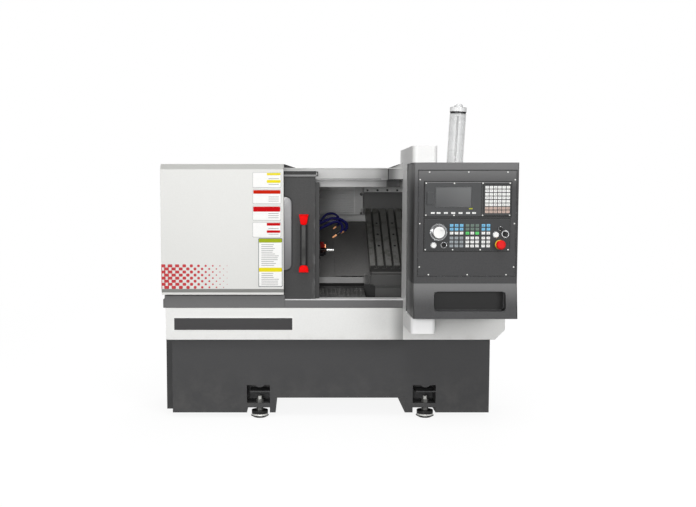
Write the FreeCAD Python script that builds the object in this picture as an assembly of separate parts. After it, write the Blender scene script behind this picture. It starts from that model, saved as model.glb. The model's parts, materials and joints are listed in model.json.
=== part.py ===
import FreeCAD, Part
import math
import os

V = FreeCAD.Vector

# CNC turning lathe with a slant bed. Sizes in millimetres.
# X runs along the spindle, Y to the back, Z up; the origin is on the floor, under the middle.

# Enclosure and base
SIDE_X = 846.0            # outer end faces of the enclosure, left and right
REAR_Y = 600.0            # back of the enclosure
BODY_FRONT = -210.0       # front of the white lower body
SHEET = 3.0               # sheet metal thickness
BASE_LEFT = -805.0
BASE_RIGHT = 780.0
BASE_FRONT = -175.0
BASE_BACK = 480.0
BASE_BOTTOM = 26.0
BASE_TOP = 400.0
BASE_WALL = 12.0
BELLY_Z = 101.0           # underside of the base between the legs
LEG_LEFT_END = -289.0
LEG_RIGHT_START = 359.0
END_FLANGE_X = -845.0     # narrow end panel left of the base
END_FLANGE_FRONT = -90.0
POCKET_W = 115.0          # leg pockets for the levelling bolts
POCKET_D = 112.0
POCKET_TOP = 165.0
POCKET_TAB_R = 28.0          # round tab that hangs into each pocket
POCKET_TAB_DROP = 12.0
FOOT_SHELF_LOW = 52.0
FOOT_SHELF_TOP = 74.0
THIN_SHELF_Z = 129.0
THIN_SHELF_T = 6.0
POCKET_X = (-375.5, 455.5)  # middle of the two pockets
FOOT_SHIFT = 6.5          # the bolts stand this much off the middle
FOOT_INSET = 22.0         # bolt axis behind the base's front face, and in front of its back
PAD_R = 45.0
PAD_T = FOOT_SHELF_LOW - 16.0   # the pad ends under the lower nut
SOLE_T = 9.0
SKIRT_T = 11.0
BOLT_R = 10.0
BOLT_TOP = 107.0
NUT_AF = 30.0
NUT_T = 16.0
PAN_LEFT = -830.0
PAN_TOP = 558.0
PAN_CHAMFER = 49.0
PAN_WALL = 4.0
COVER_RIGHT = -247.0      # the left cover's open right end
COVER_FRONT = -230.0
COVER_TOP = 1264.0
COVER_BOTTOM = 625.0
COVER_BEVEL = 28.0
COVER_BACK = -123.0
ROOF_Z = 1247.0
BAND_TOP = 619.0
BAND_FRONT = -205.0
BAND_RIGHT = -243.0
SILL_TOP = 600.0
SILL_FRONT = -200.0
SILL_BACK = -110.0
HEADER_FRONT = -120.0
HEADER_BACK = -60.0
HEADER_LOW = 1192.0
LIP_FRONT = -90.0
LIP_LOW = 1153.0
RAIL_T = 6.0
RAIL_FRONT = -146.0

# Control post and console
POST_LEFT = 342.0
POST_W = 114.0
POST_FRONT = -541.0
POST_BACK = -20.0
POST_TOP = 1336.0
POST_WAIST = -124.0        # its back below the header, clear of the tool table
POST_NECK_Z = 1190.0
POST_FOOT_Z = 478.0
POST_WALL = 4.0
POST_ROUND = 24.0
CON_LEFT = 348.0
CON_RIGHT = 822.0
CON_FRONT = -561.0
CON_BACK = -327.0
CON_TOP = 1260.0
CON_BOTTOM = 553.0
CON_KINK = 712.0
CON_LEAN = 25.0
CON_WALL = 6.0
PLATE_X0 = 369.0
PLATE_X1 = 810.0
PLATE_Z0 = 747.0
PLATE_Z1 = 1224.0
PLATE_T = 3.0
SLOT_X0 = 442.0
SLOT_X1 = 769.0
SLOT_Z0 = 586.0
SLOT_Z1 = 676.0
SLOT_DEEP = 62.0
DISP_X0 = 396.0
DISP_X1 = 786.0
DISP_Z0 = 1018.0
DISP_Z1 = 1172.0
DISP_FRONT = CON_FRONT - 4.0
SCR_X0 = 446.0
SCR_X1 = 606.0
SCR_Z0 = 1060.0
SCR_Z1 = 1150.0
OP_X0 = 396.0
OP_X1 = 781.0
OP_Z0 = 862.0
OP_Z1 = 1006.0
OP_FRONT = CON_FRONT - 3.0
OP_T = 19.0
KEY_T = 1.5
STEM_FIT = 0.1

# Door
DOOR_LEFT = -680.0
DOOR_RIGHT = -91.0
DOOR_FRONT = -185.0
DOOR_T = 25.0
DOOR_SKIN = 3.0
DOOR_LOW = 602.0
DOOR_TOP = 1201.0
WIN_X0 = -507.0
WIN_X1 = -207.0
WIN_Z0 = 742.0
WIN_Z1 = 1106.0
WIN_R = 33.0
PANE_LAP = 10.0
PANE_T = 8.0
HANDLE_X = -149.0
HANDLE_W = 33.0
HANDLE_OUT = 47.0         # bar front in front of the door
HANDLE_THICK = 18.0
CAP_W = 47.0
CAP_LOW = (735.0, 771.0)
CAP_HIGH = (967.0, 1019.0)
ROLLER_R = 15.0
ROLLER_X = (-600.0, -170.0)
ROLLER_W = 12.0

# Slant bed. u runs up the slope, n stands square on it; both start at the table's lower edge.
SLANT = 35.0
TABLE_Y = 20.0
TABLE_Z = 754.0
TABLE_LEFT = 195.0
TABLE_W = 260.0
TABLE_L = 494.0
TABLE_T = 45.0
TABLE_HEEL = 14.0         # chamfer under its upper end
SLOT_PITCH = 42.0
TSLOT_W = 12.0
TSLOT_HEAD = 20.0
BED_N = -160.0            # plane that carries the long rails
BED_LEFT = -780.0
BED_RIGHT = 625.0
BED_FRONT = 60.0
BED_BACK = 480.0
BED_RIB_TOP = 655.0
RAIL_W = 20.0
RAIL_H = 18.0
Z_RAIL_U = (70.0, 360.0)
Z_RAIL_X0 = -120.0
SADDLE_N0 = -120.0
SADDLE_N1 = -82.0
SADDLE_U0 = 20.0
SADDLE_U1 = 465.0
SADDLE_INSET = 10.0       # saddle narrower than the table on each side
X_RAIL_INSET = 40.0       # cross rails in from the table's sides
SCREW_R = 10.0
XSCREW_R = 8.0
XSCREW_N = -66.0
Z_SCREW_U = 215.0
Z_SCREW_N = -140.0
COVER_N = -65.0           # top of the sliding way covers
LEAF_T = 3.0
LEAF_GAP = 2.0
BULK_LEFT = -152.0
BULK_RIGHT = 630.0
BULK_T = 4.0

# Spindle
AXIS_Y = -20.0
AXIS_Z = 833.0
HEAD_X0 = -430.0
HEAD_X1 = -156.0
HEAD_BORE_R = 56.0
SPINDLE_R = 35.0
SPINDLE_BORE_R = 14.0
CHUCK_BORE_R = 12.0
SPINDLE_X0 = -520.0
CHUCK_X0 = -112.0
CHUCK_X1 = -64.0
CHUCK_R = 49.0
JAW_W = 16.0
JAW_OUT = 28.0
JAW_R0 = 6.9
JAW_R1 = 46.0
BAR_R = 6.5
BAR_END = 6.0
FIT = 0.05                # running fit, on the radius

# Signal lamp
LAMP_X = 646.0
LAMP_Y = 170.0
LAMP_LEAN = 3.0
LAMP_R = 44.0
LAMP_TOP = 340.0          # length along the lamp's own axis

SIN = math.sin(math.radians(SLANT))
COS = math.cos(math.radians(SLANT))

PARTS = {}


def save(name, shape):
    PARTS[name] = shape


def group(solids):
    return Part.makeCompound(solids)


def fuse(solids):
    out = solids[0].fuse(solids[1:])
    return out.removeSplitter()


def box(x0, x1, y0, y1, z0, z1):
    return Part.makeBox(x1 - x0, y1 - y0, z1 - z0, V(x0, y0, z0))


def cyl(r, start, along, length):
    return Part.makeCylinder(r, length, V(*start), V(*along))


def prism(points, x0, x1):
    # A closed outline in Y and Z, drawn out along X.
    ring = [V(x0, y, z) for y, z in points]
    wire = Part.makePolygon(ring + [ring[0]])
    return Part.Face(wire).extrude(V(x1 - x0, 0, 0))


def slope(u, n):
    # A point in Y and Z from the slant bed's own coordinates.
    return (TABLE_Y + u * COS - n * SIN, TABLE_Z + u * SIN + n * COS)


def slab(x0, x1, u0, u1, n0, n1):
    # A block whose faces follow the slant bed.
    return prism([slope(u0, n0), slope(u1, n0), slope(u1, n1), slope(u0, n1)], x0, x1)


def slope_cyl(r, x, n, u0, u1):
    y, z = slope(u0, n)
    return cyl(r, (x, y, z), (0, COS, SIN), u1 - u0)


def round_box(x0, x1, y0, y1, z0, z1, r):
    # A plate standing in the XZ plane with rounded corners.
    parts = [box(x0 + r, x1 - r, y0, y1, z0, z1), box(x0, x1, y0, y1, z0 + r, z1 - r)]
    for x in (x0 + r, x1 - r):
        for z in (z0 + r, z1 - r):
            parts.append(cyl(r, (x, y0, z), (0, 1, 0), y1 - y0))
    return fuse(parts)


def hexagon(af, x, y, z, h):
    pts = []
    for k in range(6):
        a = math.radians(60 * k)
        pts.append(V(x + af / math.sqrt(3) * math.cos(a), y + af / math.sqrt(3) * math.sin(a), z))
    return Part.Face(Part.makePolygon(pts + [pts[0]])).extrude(V(0, 0, h))


def dial(r, x, z, y_front, length, bevel=0.0):
    # A round piece whose axis runs front to back, its front edge bevelled.
    body = cyl(r, (x, y_front + bevel, z), (0, 1, 0), length - bevel)
    if bevel > 0:
        cone = Part.makeCone(r - bevel, r, bevel, V(x, y_front, z), V(0, 1, 0))
        body = fuse([body, cone])
    return body


def foot_places():
    out = []
    for x in POCKET_X:
        for y in (BASE_FRONT + FOOT_INSET, BASE_BACK - FOOT_INSET):
            out.append((x + FOOT_SHIFT, y))
    return out


def make_base():
    b = box(BASE_LEFT, BASE_RIGHT, BASE_FRONT, BASE_BACK, BASE_BOTTOM, BASE_TOP)
    w = BASE_WALL
    cuts = [box(LEG_LEFT_END, LEG_RIGHT_START, BASE_FRONT - 1, BASE_BACK + 1, 0, BELLY_Z)]
    # bay for the coolant tank, open to the back
    cuts.append(box(LEG_LEFT_END + w, LEG_RIGHT_START - w, BASE_FRONT + w, BASE_BACK + 1,
                    BELLY_Z + w, BASE_TOP - w))
    pocket_in = BASE_FRONT + POCKET_D + w
    pocket_out = BASE_BACK - POCKET_D - w
    left0 = POCKET_X[0] - POCKET_W / 2 - w
    right1 = POCKET_X[1] + POCKET_W / 2 + w
    # left leg: open underneath
    cuts.append(box(BASE_LEFT + w, left0, BASE_FRONT + w, BASE_BACK - w, 0, BASE_TOP - w))
    cuts.append(box(left0 - 1, LEG_LEFT_END - w, pocket_in, pocket_out, 0, BASE_TOP - w))
    # right leg: electrical cabinet, open to the back
    cuts.append(box(right1, BASE_RIGHT - w, BASE_FRONT + w, BASE_BACK - w,
                    BASE_BOTTOM + w, BASE_TOP - w))
    cuts.append(box(right1, BASE_RIGHT - w, BASE_BACK - w - 1, BASE_BACK + 1,
                    BASE_BOTTOM + w, CABINET_TOP))
    cuts.append(box(LEG_RIGHT_START + w, right1 + 1, pocket_in, pocket_out,
                    BASE_BOTTOM + w, BASE_TOP - w))
    for x in POCKET_X:
        x0 = x - POCKET_W / 2
        x1 = x + POCKET_W / 2
        for y0, y1 in ((BASE_FRONT - 1, BASE_FRONT + POCKET_D), (BASE_BACK - POCKET_D, BASE_BACK + 1)):
            cuts.append(box(x0, x1, y0, y1, FOOT_SHELF_TOP, THIN_SHELF_Z))
            cuts.append(box(x0, x1, y0, y1, THIN_SHELF_Z + THIN_SHELF_T, POCKET_TOP))
            cuts.append(box(x0, x0 + 16, y0, y1, THIN_SHELF_Z - 1, THIN_SHELF_Z + THIN_SHELF_T + 1))
            cuts.append(box(x0, x1, y0, y1, 0, FOOT_SHELF_LOW))
    for x, y in foot_places():
        cuts.append(cyl(BOLT_R + 0.3, (x, y, FOOT_SHELF_LOW - 5), (0, 0, 1), 40))
    # round power inlet in the back of the right leg
    cuts.append(cyl(12.5, (INLET_X, BASE_BACK - w - 1, INLET_Z), (0, 1, 0), w + 2))
    b = b.cut(cuts)
    for x in POCKET_X:
        for y in (BASE_FRONT, BASE_BACK - w):
            z = POCKET_TOP + POCKET_TAB_R - POCKET_TAB_DROP
            b = b.fuse(cyl(POCKET_TAB_R, (x + FOOT_SHIFT, y, z), (0, 1, 0), w))
    f = box(END_FLANGE_X, BASE_LEFT, END_FLANGE_FRONT, BASE_BACK - 10, BASE_BOTTOM, BASE_TOP)
    f = f.cut(box(END_FLANGE_X + w, BASE_LEFT + 1, END_FLANGE_FRONT + w, BASE_BACK - 10 - w, 0,
                  BASE_TOP - w))
    save("base_cabinet", fuse([b, f]))


INLET_X = 690.0
INLET_Z = BASE_TOP - 28
CABINET_TOP = BASE_TOP - 55


def make_feet():
    solids = []
    for x, y in foot_places():
        sole = Part.makeCone(PAD_R - 15, PAD_R, SOLE_T, V(x, y, 0), V(0, 0, 1))
        skirt = Part.makeCone(PAD_R, PAD_R - 7, SKIRT_T, V(x, y, SOLE_T), V(0, 0, 1))
        z = SOLE_T + SKIRT_T
        pad = fuse([sole, skirt, cyl(PAD_R - 4, (x, y, z), (0, 0, 1), PAD_T - z)])
        solids.append(pad)
        bolt = cyl(BOLT_R, (x, y, PAD_T), (0, 0, 1), BOLT_TOP - PAD_T)
        low = hexagon(NUT_AF, x, y, FOOT_SHELF_LOW - NUT_T, NUT_T)
        high = hexagon(NUT_AF, x, y, FOOT_SHELF_TOP, NUT_T)
        solids.append(fuse([bolt, low, high]))
    save("levelling_feet", group(solids))


def bed_outline(c):
    # The bed casting in Y and Z; c is how far the outline stands off the metal.
    a = slope(0, BED_N + c)
    b = slope((BED_BACK - 16 - a[0]) / COS, BED_N + c)
    return [(BED_FRONT - c, BASE_TOP), (BED_FRONT - c, BED_RIB_TOP + c),
            (BED_FRONT + 15 + c, BED_RIB_TOP + c), a, b, (BED_BACK + c, b[1]), (BED_BACK + c, BASE_TOP)]


def make_bed():
    b = prism(bed_outline(0), BED_LEFT, BED_RIGHT)
    t = 25.0
    n = 6
    cell = (BED_RIGHT - BED_LEFT - t) / n
    y0 = BED_FRONT + t
    y1 = BED_BACK - t
    a = slope(0, BED_N - t)
    cuts = []
    for k in range(n):
        x0 = BED_LEFT + t + k * cell
        z0 = a[1] + (y0 - a[0]) * SIN / COS
        z1 = a[1] + (y1 - a[0]) * SIN / COS
        cuts.append(prism([(y0, BASE_TOP - 1), (y0, z0), (y1, z1), (y1, BASE_TOP - 1)],
                          x0, x0 + cell - t))
    save("bed_casting", b.cut(cuts))


def make_pan():
    w = PAN_WALL
    x0 = PAN_LEFT
    x1 = SIDE_X
    p = box(x0, x1, BODY_FRONT, REAR_Y, BASE_TOP, PAN_TOP)
    p = p.cut(box(x0 + w, x1 - w, BODY_FRONT + w, REAR_Y - w, BASE_TOP + w, PAN_TOP + 1))
    # the right end's lower corner is cut off at 45 degrees and closed
    c = PAN_CHAMFER
    tri = [V(x1 - c, BODY_FRONT - 1, BASE_TOP), V(x1 + 1, BODY_FRONT - 1, BASE_TOP + c + 1),
           V(x1 + 1, BODY_FRONT - 1, BASE_TOP - 1), V(x1 - c, BODY_FRONT - 1, BASE_TOP - 1)]
    wedge = Part.Face(Part.makePolygon(tri + [tri[0]])).extrude(V(0, REAR_Y - BODY_FRONT + 2, 0))
    skin = [V(x1 - c - w, BODY_FRONT, BASE_TOP), V(x1, BODY_FRONT, BASE_TOP + c + w),
            V(x1 - w, BODY_FRONT, BASE_TOP + c + w), V(x1 - c - 2 * w, BODY_FRONT, BASE_TOP)]
    skin = Part.Face(Part.makePolygon(skin + [skin[0]])).extrude(V(0, REAR_Y - BODY_FRONT, 0))
    p = fuse([p, skin]).cut(wedge)
    # the bed stands on the base through the pan's floor
    p = p.cut(box(BED_LEFT - 1, BED_RIGHT + 1, BED_FRONT - 1, BED_BACK + 1, BASE_TOP - 1,
                  BASE_TOP + w + 1))
    save("lower_body", p)
    save("nameplate", box(-791, -202, BODY_FRONT - 2, BODY_FRONT, BASE_TOP + 46, BASE_TOP + 111))


def make_left_cover():
    f = COVER_FRONT
    t = SHEET
    k = COVER_BEVEL
    lip = 8.0
    outer = [(f, 654), (f, COVER_TOP - k), (f + k, COVER_TOP), (COVER_BACK, COVER_TOP),
             (COVER_BACK, ROOF_Z), (COVER_BACK - t, ROOF_Z), (COVER_BACK - t, COVER_TOP - t),
             (f + k + 1.2, COVER_TOP - t), (f + t, COVER_TOP - k - 1.2), (f + t, 655.2),
             (f + lip + t, 638.2), (f + lip + t, COVER_BOTTOM), (f + lip, COVER_BOTTOM), (f + lip, 637)]
    band = prism(outer, -SIDE_X, COVER_RIGHT)
    end = [(f, 654), (f, COVER_TOP - k), (f + k, COVER_TOP), (COVER_BACK, COVER_TOP),
           (COVER_BACK, COVER_BOTTOM), (f + lip, COVER_BOTTOM), (f + lip, 637)]
    end = prism(end, -SIDE_X, -SIDE_X + t)
    save("left_cover", fuse([band, end]))


def make_sill():
    x0 = -SIDE_X + SHEET
    x1 = POST_LEFT
    g = DOOR_FRONT + 12.5
    s = box(x0, x1, SILL_FRONT, SILL_BACK, PAN_TOP, SILL_TOP)
    s = s.cut(box(x0 - 1, x1 + 1, g - 4.5, g + 4.5, SILL_TOP - 12, SILL_TOP + 1))
    s = s.cut(box(x0 + 10, x1 - 10, SILL_FRONT + 8, SILL_BACK - 8, PAN_TOP - 1, PAN_TOP + 18))
    b = box(PAN_LEFT - 5, BAND_RIGHT, BAND_FRONT, SILL_FRONT + 10, PAN_TOP, BAND_TOP)
    save("sill_track", fuse([s, b]))


def make_header():
    x0 = -SIDE_X + SHEET
    x1 = POST_LEFT
    t = SHEET
    top = ROOF_Z - t
    h = box(x0, x1, HEADER_FRONT, HEADER_BACK, HEADER_LOW, top)
    h = h.cut(box(x0 - 1, x1 + 1, HEADER_FRONT + t, HEADER_BACK + 1, HEADER_LOW + t, top + 1))
    lip = box(BULK_LEFT, x1 - 10, LIP_FRONT, LIP_FRONT + 2 * t, LIP_LOW, HEADER_LOW + t)
    rail = box(x0, x1, RAIL_FRONT, HEADER_FRONT, HEADER_LOW - RAIL_T, HEADER_LOW)
    save("header_beam", fuse([h, lip, rail]))


def louvres(x0, x1, z0, count, pitch, y0, y1, h=6.0):
    return [box(x0, x1, y0, y1, z0 + k * pitch, z0 + k * pitch + h) for k in range(count)]


def make_shell():
    t = SHEET
    x = SIDE_X
    z0 = PAN_TOP
    front = HEADER_FRONT
    roof = box(-x, x, COVER_BACK, REAR_Y, ROOF_Z - t, ROOF_Z)
    roof = roof.cut(box(POST_LEFT - 1, POST_LEFT + POST_W + 1, COVER_BACK - 1, POST_BACK + 1,
                        ROOF_Z - t - 1, ROOF_Z + 1))
    left = box(-x, -x + t, COVER_BACK, REAR_Y, z0, ROOF_Z)
    left = left.cut(cyl(30, (-x - 1, AXIS_Y, AXIS_Z), (1, 0, 0), t + 2))
    for k in range(8):
        left = left.cut(box(-x - 1, -x + t + 1, 250, 420, 700 + 22 * k, 706 + 22 * k))
    foot = box(-x, PAN_LEFT + 4, SILL_BACK, REAR_Y, z0, z0 + t)
    right = box(x - t, x, front, REAR_Y, z0, ROOF_Z)
    for k in range(8):
        right = right.cut(box(x - t - 1, x + 1, 250, 420, 700 + 22 * k, 706 + 22 * k))
    face = box(POST_LEFT + POST_W, x, front, front + t, z0, ROOF_Z)
    rear = box(-x, x, REAR_Y - t, REAR_Y, z0, ROOF_Z)
    rear = rear.cut(louvres(-780, -560, 760, 10, 24, REAR_Y - t - 1, REAR_Y + 1))
    save("enclosure_shell", fuse([roof, left, foot, right, face, rear]))


def make_post():
    w = POST_WALL
    r = POST_ROUND
    x0 = POST_LEFT
    x1 = x0 + POST_W
    yb = CON_BACK
    prof = [(POST_FRONT, POST_FOOT_Z), (BODY_FRONT, POST_FOOT_Z), (BODY_FRONT, PAN_TOP),
            (POST_WAIST, PAN_TOP), (POST_WAIST, POST_NECK_Z), (POST_BACK, POST_NECK_Z),
            (POST_BACK, POST_TOP), (POST_FRONT, POST_TOP),
            (POST_FRONT, CON_TOP), (yb, CON_TOP), (yb, CON_BOTTOM), (POST_FRONT, CON_BOTTOM)]
    p = prism(prof, x0, x1)
    edges = []
    for e in p.Edges:
        a = e.Vertexes[0].Point
        b = e.Vertexes[-1].Point
        if abs(a.y - POST_FRONT) < 0.1 and abs(b.y - POST_FRONT) < 0.1 and abs(a.z - b.z) > 10:
            edges.append(e)
    p = p.makeFillet(POST_ROUND, edges)
    inner = [(POST_FRONT + w + r, POST_FOOT_Z + w), (BODY_FRONT - w, POST_FOOT_Z + w),
             (BODY_FRONT - w, PAN_TOP + w), (POST_WAIST - w, PAN_TOP + w), (POST_WAIST - w, POST_NECK_Z + w),
             (POST_BACK - w, POST_NECK_Z + w), (POST_BACK - w, POST_TOP - w),
             (POST_FRONT + w + r, POST_TOP - w), (POST_FRONT + w + r, CON_TOP + w), (yb + w, CON_TOP + w),
             (yb + w, CON_BOTTOM - w), (POST_FRONT + w + r, CON_BOTTOM - w)]
    p = p.cut(prism(inner, x0 + w, x1 - w))
    mid = (x0 + x1) / 2
    p = p.cut(cyl(22, (mid, POST_FRONT + 60, POST_FOOT_Z - 1), (0, 0, 1), w + 2))
    p = p.cut(cyl(30, (mid, yb - 1, 900), (0, 1, 0), w + 2))
    save("control_post", p)


def make_bulkheads():
    t = BULK_T
    y0 = LIP_FRONT + 2 * SHEET
    y1 = REAR_Y - SHEET
    low = SILL_BACK
    left = box(BULK_LEFT, BULK_LEFT + t, low, y1, PAN_TOP, ROOF_Z - SHEET)
    left = left.cut(box(BULK_LEFT - 1, BULK_LEFT + t + 1, low - 1, HEADER_BACK + 1, HEADER_LOW - 1, ROOF_Z))
    left = left.cut(box(BULK_LEFT - 1, BULK_LEFT + t + 1, low - 1, y0 + 1, LIP_LOW - 1, ROOF_Z))
    left = left.cut(prism([(y, z - 3) for y, z in bed_outline(1)], BULK_LEFT - 1, BULK_LEFT + t + 1))
    left = left.cut(prism(bed_outline(1), BULK_LEFT - 1, BULK_LEFT + t + 1))
    left = left.cut(cyl(64, (BULK_LEFT - 1, AXIS_Y, AXIS_Z), (1, 0, 0), t + 2))
    right = box(BULK_RIGHT, BULK_RIGHT + t, HEADER_FRONT + SHEET, y1, PAN_TOP, ROOF_Z - SHEET)
    y, z = slope(Z_SCREW_U, Z_SCREW_N)
    right = right.cut(cyl(16, (BULK_RIGHT - 1, y, z), (1, 0, 0), t + 2))
    save("chamber_bulkheads", group([left, right]))


LOUVRE_Y = 468.0
LOUVRE_X0 = -147.0
LOUVRE_X1 = 186.0
LOUVRE_Z0 = 1003.0
LOUVRE_Z1 = 1150.0


def make_shroud():
    t = 4.0
    y = LOUVRE_Y
    plate = box(LOUVRE_X0, LOUVRE_X1, y, y + t, LOUVRE_Z0, LOUVRE_Z1)
    for k in range(10):
        z = LOUVRE_Z0 + 9 + k * 13.5
        plate = plate.cut(box(LOUVRE_X0 + 20, LOUVRE_X1 - 50, y - 1, y + t + 1, z, z + 5))
    for z in (LOUVRE_Z0 + 25, LOUVRE_Z1 - 33):
        plate = plate.cut(cyl(5, (LOUVRE_X1 - 8, y - 1, z), (0, 1, 0), t + 2))
    # hanger from the plate to the roof, and the cross bar that carries on to the right
    hang = box(LOUVRE_X0, BULK_RIGHT, y, y + t, LOUVRE_Z1, ROOF_Z - SHEET)
    bar = box(LOUVRE_X1 + 4, BULK_RIGHT, y - 8, y, 1129, 1153)
    for k in range(8):
        bar = bar.cut(cyl(5, (LOUVRE_X1 + 22 + 55 * k, y - 9, 1143), (0, 1, 0), 6))
    dark = box(LOUVRE_X1 + 4, BULK_RIGHT, y, y + t, LOUVRE_Z0, LOUVRE_Z1)
    save("rear_shroud", fuse([plate, hang, bar, dark]))


def make_chip_guards():
    y0 = SILL_BACK
    y1 = BED_FRONT
    x0 = BULK_LEFT + BULK_T
    x1 = TABLE_LEFT - 30
    rise = 36.0
    tray = prism([(y0, 591), (y1, 591 + rise), (y1, 594 + rise), (y0, 594)], x0, x1)
    for k in range(14):
        x = x0 + 14 + k * 21.5
        tray = tray.cut([cyl(5, (x, y0 + 18 + 27 * j, 580), (0, 0, 1), 70) for j in range(6)])
    ledge = prism([(42, 658), (46, 658), (46, 689), (42, 689)], x0, x1)
    back = prism([(46, 658), (y1, 640), (y1, 644), (46, 662)], x0, x1)
    ledge = fuse([ledge, back])
    low = box(TABLE_LEFT + 27, BULK_RIGHT, -20, -14, PAN_TOP, 638)
    return [tray, ledge, low]


A_X0 = BULK_LEFT + BULK_T
LEAF_L = 190.0
SADDLE_X0 = TABLE_LEFT + SADDLE_INSET
SADDLE_X1 = TABLE_LEFT + TABLE_W - SADDLE_INSET
LEAF_R = BULK_RIGHT - 5 - SADDLE_X1


def make_way_covers():
    t = LEAF_T
    n1 = COVER_N - t - LEAF_GAP
    a = slab(A_X0, A_X0 + LEAF_L, -10, 462, n1 - t, n1)
    a = fuse([a, slab(A_X0, A_X0 + t, 30, 462, n1 - 30, n1)])
    b = slab(BULK_RIGHT - LEAF_R + 6, BULK_RIGHT, -10, 462, n1 - t, n1)
    b = fuse([b, slab(BULK_RIGHT - t, BULK_RIGHT, 30, 462, n1 - 30, n1)])
    save("chamber_covers", group([a, b] + make_chip_guards()))
    n = COVER_N
    c = slab(SADDLE_X0 - LEAF_L, SADDLE_X0, -10, 462, n - t, n)
    c = fuse([c, slab(SADDLE_X0 - t, SADDLE_X0, 30, 462, n - 40, n)])
    d = slab(SADDLE_X1, SADDLE_X1 + LEAF_R, -10, 462, n - t, n)
    d = fuse([d, slab(SADDLE_X1, SADDLE_X1 + t, 30, 462, n - 40, n)])
    save("saddle_covers", group([c, d, make_apron()]))


def x_cyl(r, x0, x1, y=AXIS_Y, z=AXIS_Z):
    return cyl(r, (x0, y, z), (1, 0, 0), x1 - x0)


def make_headstock():
    pts = [slope(0, BED_N), slope(330, BED_N), slope(330, -60), slope(170, 60), slope(120, 150),
           slope(20, 178), slope(-66, 150), slope(-80, 60), slope(-62, -10), slope(0, BED_N + 45)]
    h = prism(pts, HEAD_X0, HEAD_X1)
    h = fuse([h, x_cyl(62, HEAD_X1, HEAD_X1 + 10)])
    h = h.cut(x_cyl(HEAD_BORE_R, HEAD_X0 - 1, HEAD_X1 + 11))
    save("headstock", h)
    r1 = HEAD_BORE_R - 0.1
    rings = []
    for x in (HEAD_X1 - 12, HEAD_X1 - 36, HEAD_X0 + 12):
        rings.append(x_cyl(r1, x, x + 20).cut(x_cyl(SPINDLE_R, x - 1, x + 21)))
    save("spindle_bearings", group(rings))
    s = x_cyl(r1, HEAD_X0 + 50, HEAD_X1 - 60).cut(x_cyl(r1 - 9, HEAD_X0 + 49, HEAD_X1 - 59))
    enc = x_cyl(70, HEAD_X0 - 30, HEAD_X0).cut(x_cyl(SPINDLE_R + 2, HEAD_X0 - 31, HEAD_X0 + 1))
    save("spindle_motor", group([s, enc]))


def make_spindle():
    r = SPINDLE_R - FIT
    s = x_cyl(r, SPINDLE_X0, HEAD_X1 + 12)
    s = fuse([s, x_cyl(42, HEAD_X1 + 12, CHUCK_X0), x_cyl(44, HEAD_X0 + 55, HEAD_X1 - 65)])
    s = s.cut(x_cyl(SPINDLE_BORE_R, SPINDLE_X0 - 1, CHUCK_X0 + 1))
    save("spindle", s)
    c = x_cyl(CHUCK_R, CHUCK_X0, CHUCK_X1).cut(x_cyl(CHUCK_BORE_R, CHUCK_X0 - 1, CHUCK_X1 + 1))
    for k in range(3):
        slot = box(CHUCK_X1 - 14, CHUCK_X1 + 1, AXIS_Y - JAW_W / 2, AXIS_Y + JAW_W / 2, AXIS_Z,
                   AXIS_Z + CHUCK_R + 2)
        slot.rotate(V(0, AXIS_Y, AXIS_Z), V(1, 0, 0), 120 * k)
        c = c.cut(slot)
    save("chuck_body", c)
    for k in range(3):
        w = JAW_W / 2 - 0.1
        base = box(CHUCK_X1 - 13.9, CHUCK_X1, AXIS_Y - w, AXIS_Y + w, AXIS_Z + JAW_R0, AXIS_Z + JAW_R1)
        top = box(CHUCK_X1 + 0.3, CHUCK_X1 + JAW_OUT, AXIS_Y - w - 2, AXIS_Y + w + 2, AXIS_Z + JAW_R0,
                  AXIS_Z + JAW_R1 - 4)
        neck = box(CHUCK_X1 - 1, CHUCK_X1 + 1, AXIS_Y - w, AXIS_Y + w, AXIS_Z + JAW_R0, AXIS_Z + JAW_R1 - 4)
        step = box(CHUCK_X1 + 18, CHUCK_X1 + JAW_OUT + 1, AXIS_Y - w - 3, AXIS_Y + w + 3,
                   AXIS_Z + 30, AXIS_Z + JAW_R1)
        j = fuse([base, neck, top]).cut(step)
        for a in (-30, 30):
            edge = box(CHUCK_X1 - 20, CHUCK_X1 + JAW_OUT + 1, AXIS_Y - 30, AXIS_Y + 30,
                       AXIS_Z - 30, AXIS_Z + JAW_R0 * 0.86)
            edge.rotate(V(0, AXIS_Y, AXIS_Z), V(1, 0, 0), a)
            j = j.cut(edge)
        j.rotate(V(0, AXIS_Y, AXIS_Z), V(1, 0, 0), 120 * k)
        save("chuck_jaw_%d" % (k + 1), j)
    save("bar_blank", x_cyl(BAR_R, CHUCK_X0 + 4, BAR_END))


def make_z_guides():
    solids = []
    x1 = BULK_RIGHT - 10
    for u in Z_RAIL_U:
        solids.append(slab(Z_RAIL_X0, x1, u - RAIL_W / 2, u + RAIL_W / 2, BED_N, BED_N + RAIL_H))
    y, z = slope(Z_SCREW_U, Z_SCREW_N)
    for x in (Z_RAIL_X0 + 2, x1 - 20):
        b = slab(x, x + 20, Z_SCREW_U - 30, Z_SCREW_U + 30, BED_N, BED_N + 38)
        solids.append(b.cut(x_cyl(SCREW_R + FIT, x - 1, x + 21, y, z)))
    m = slab(BULK_RIGHT + BULK_T, BULK_RIGHT + BULK_T + 120, Z_SCREW_U - 45, Z_SCREW_U + 45,
             Z_SCREW_N - 45, Z_SCREW_N + 45)
    m = m.cut(x_cyl(SCREW_R + FIT, BULK_RIGHT + BULK_T - 1, BULK_RIGHT + 34, y, z))
    solids.append(m)
    save("z_guideway", group(solids))
    save("z_screw", x_cyl(SCREW_R, Z_RAIL_X0 + 2, BULK_RIGHT + 30, y, z))


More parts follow.
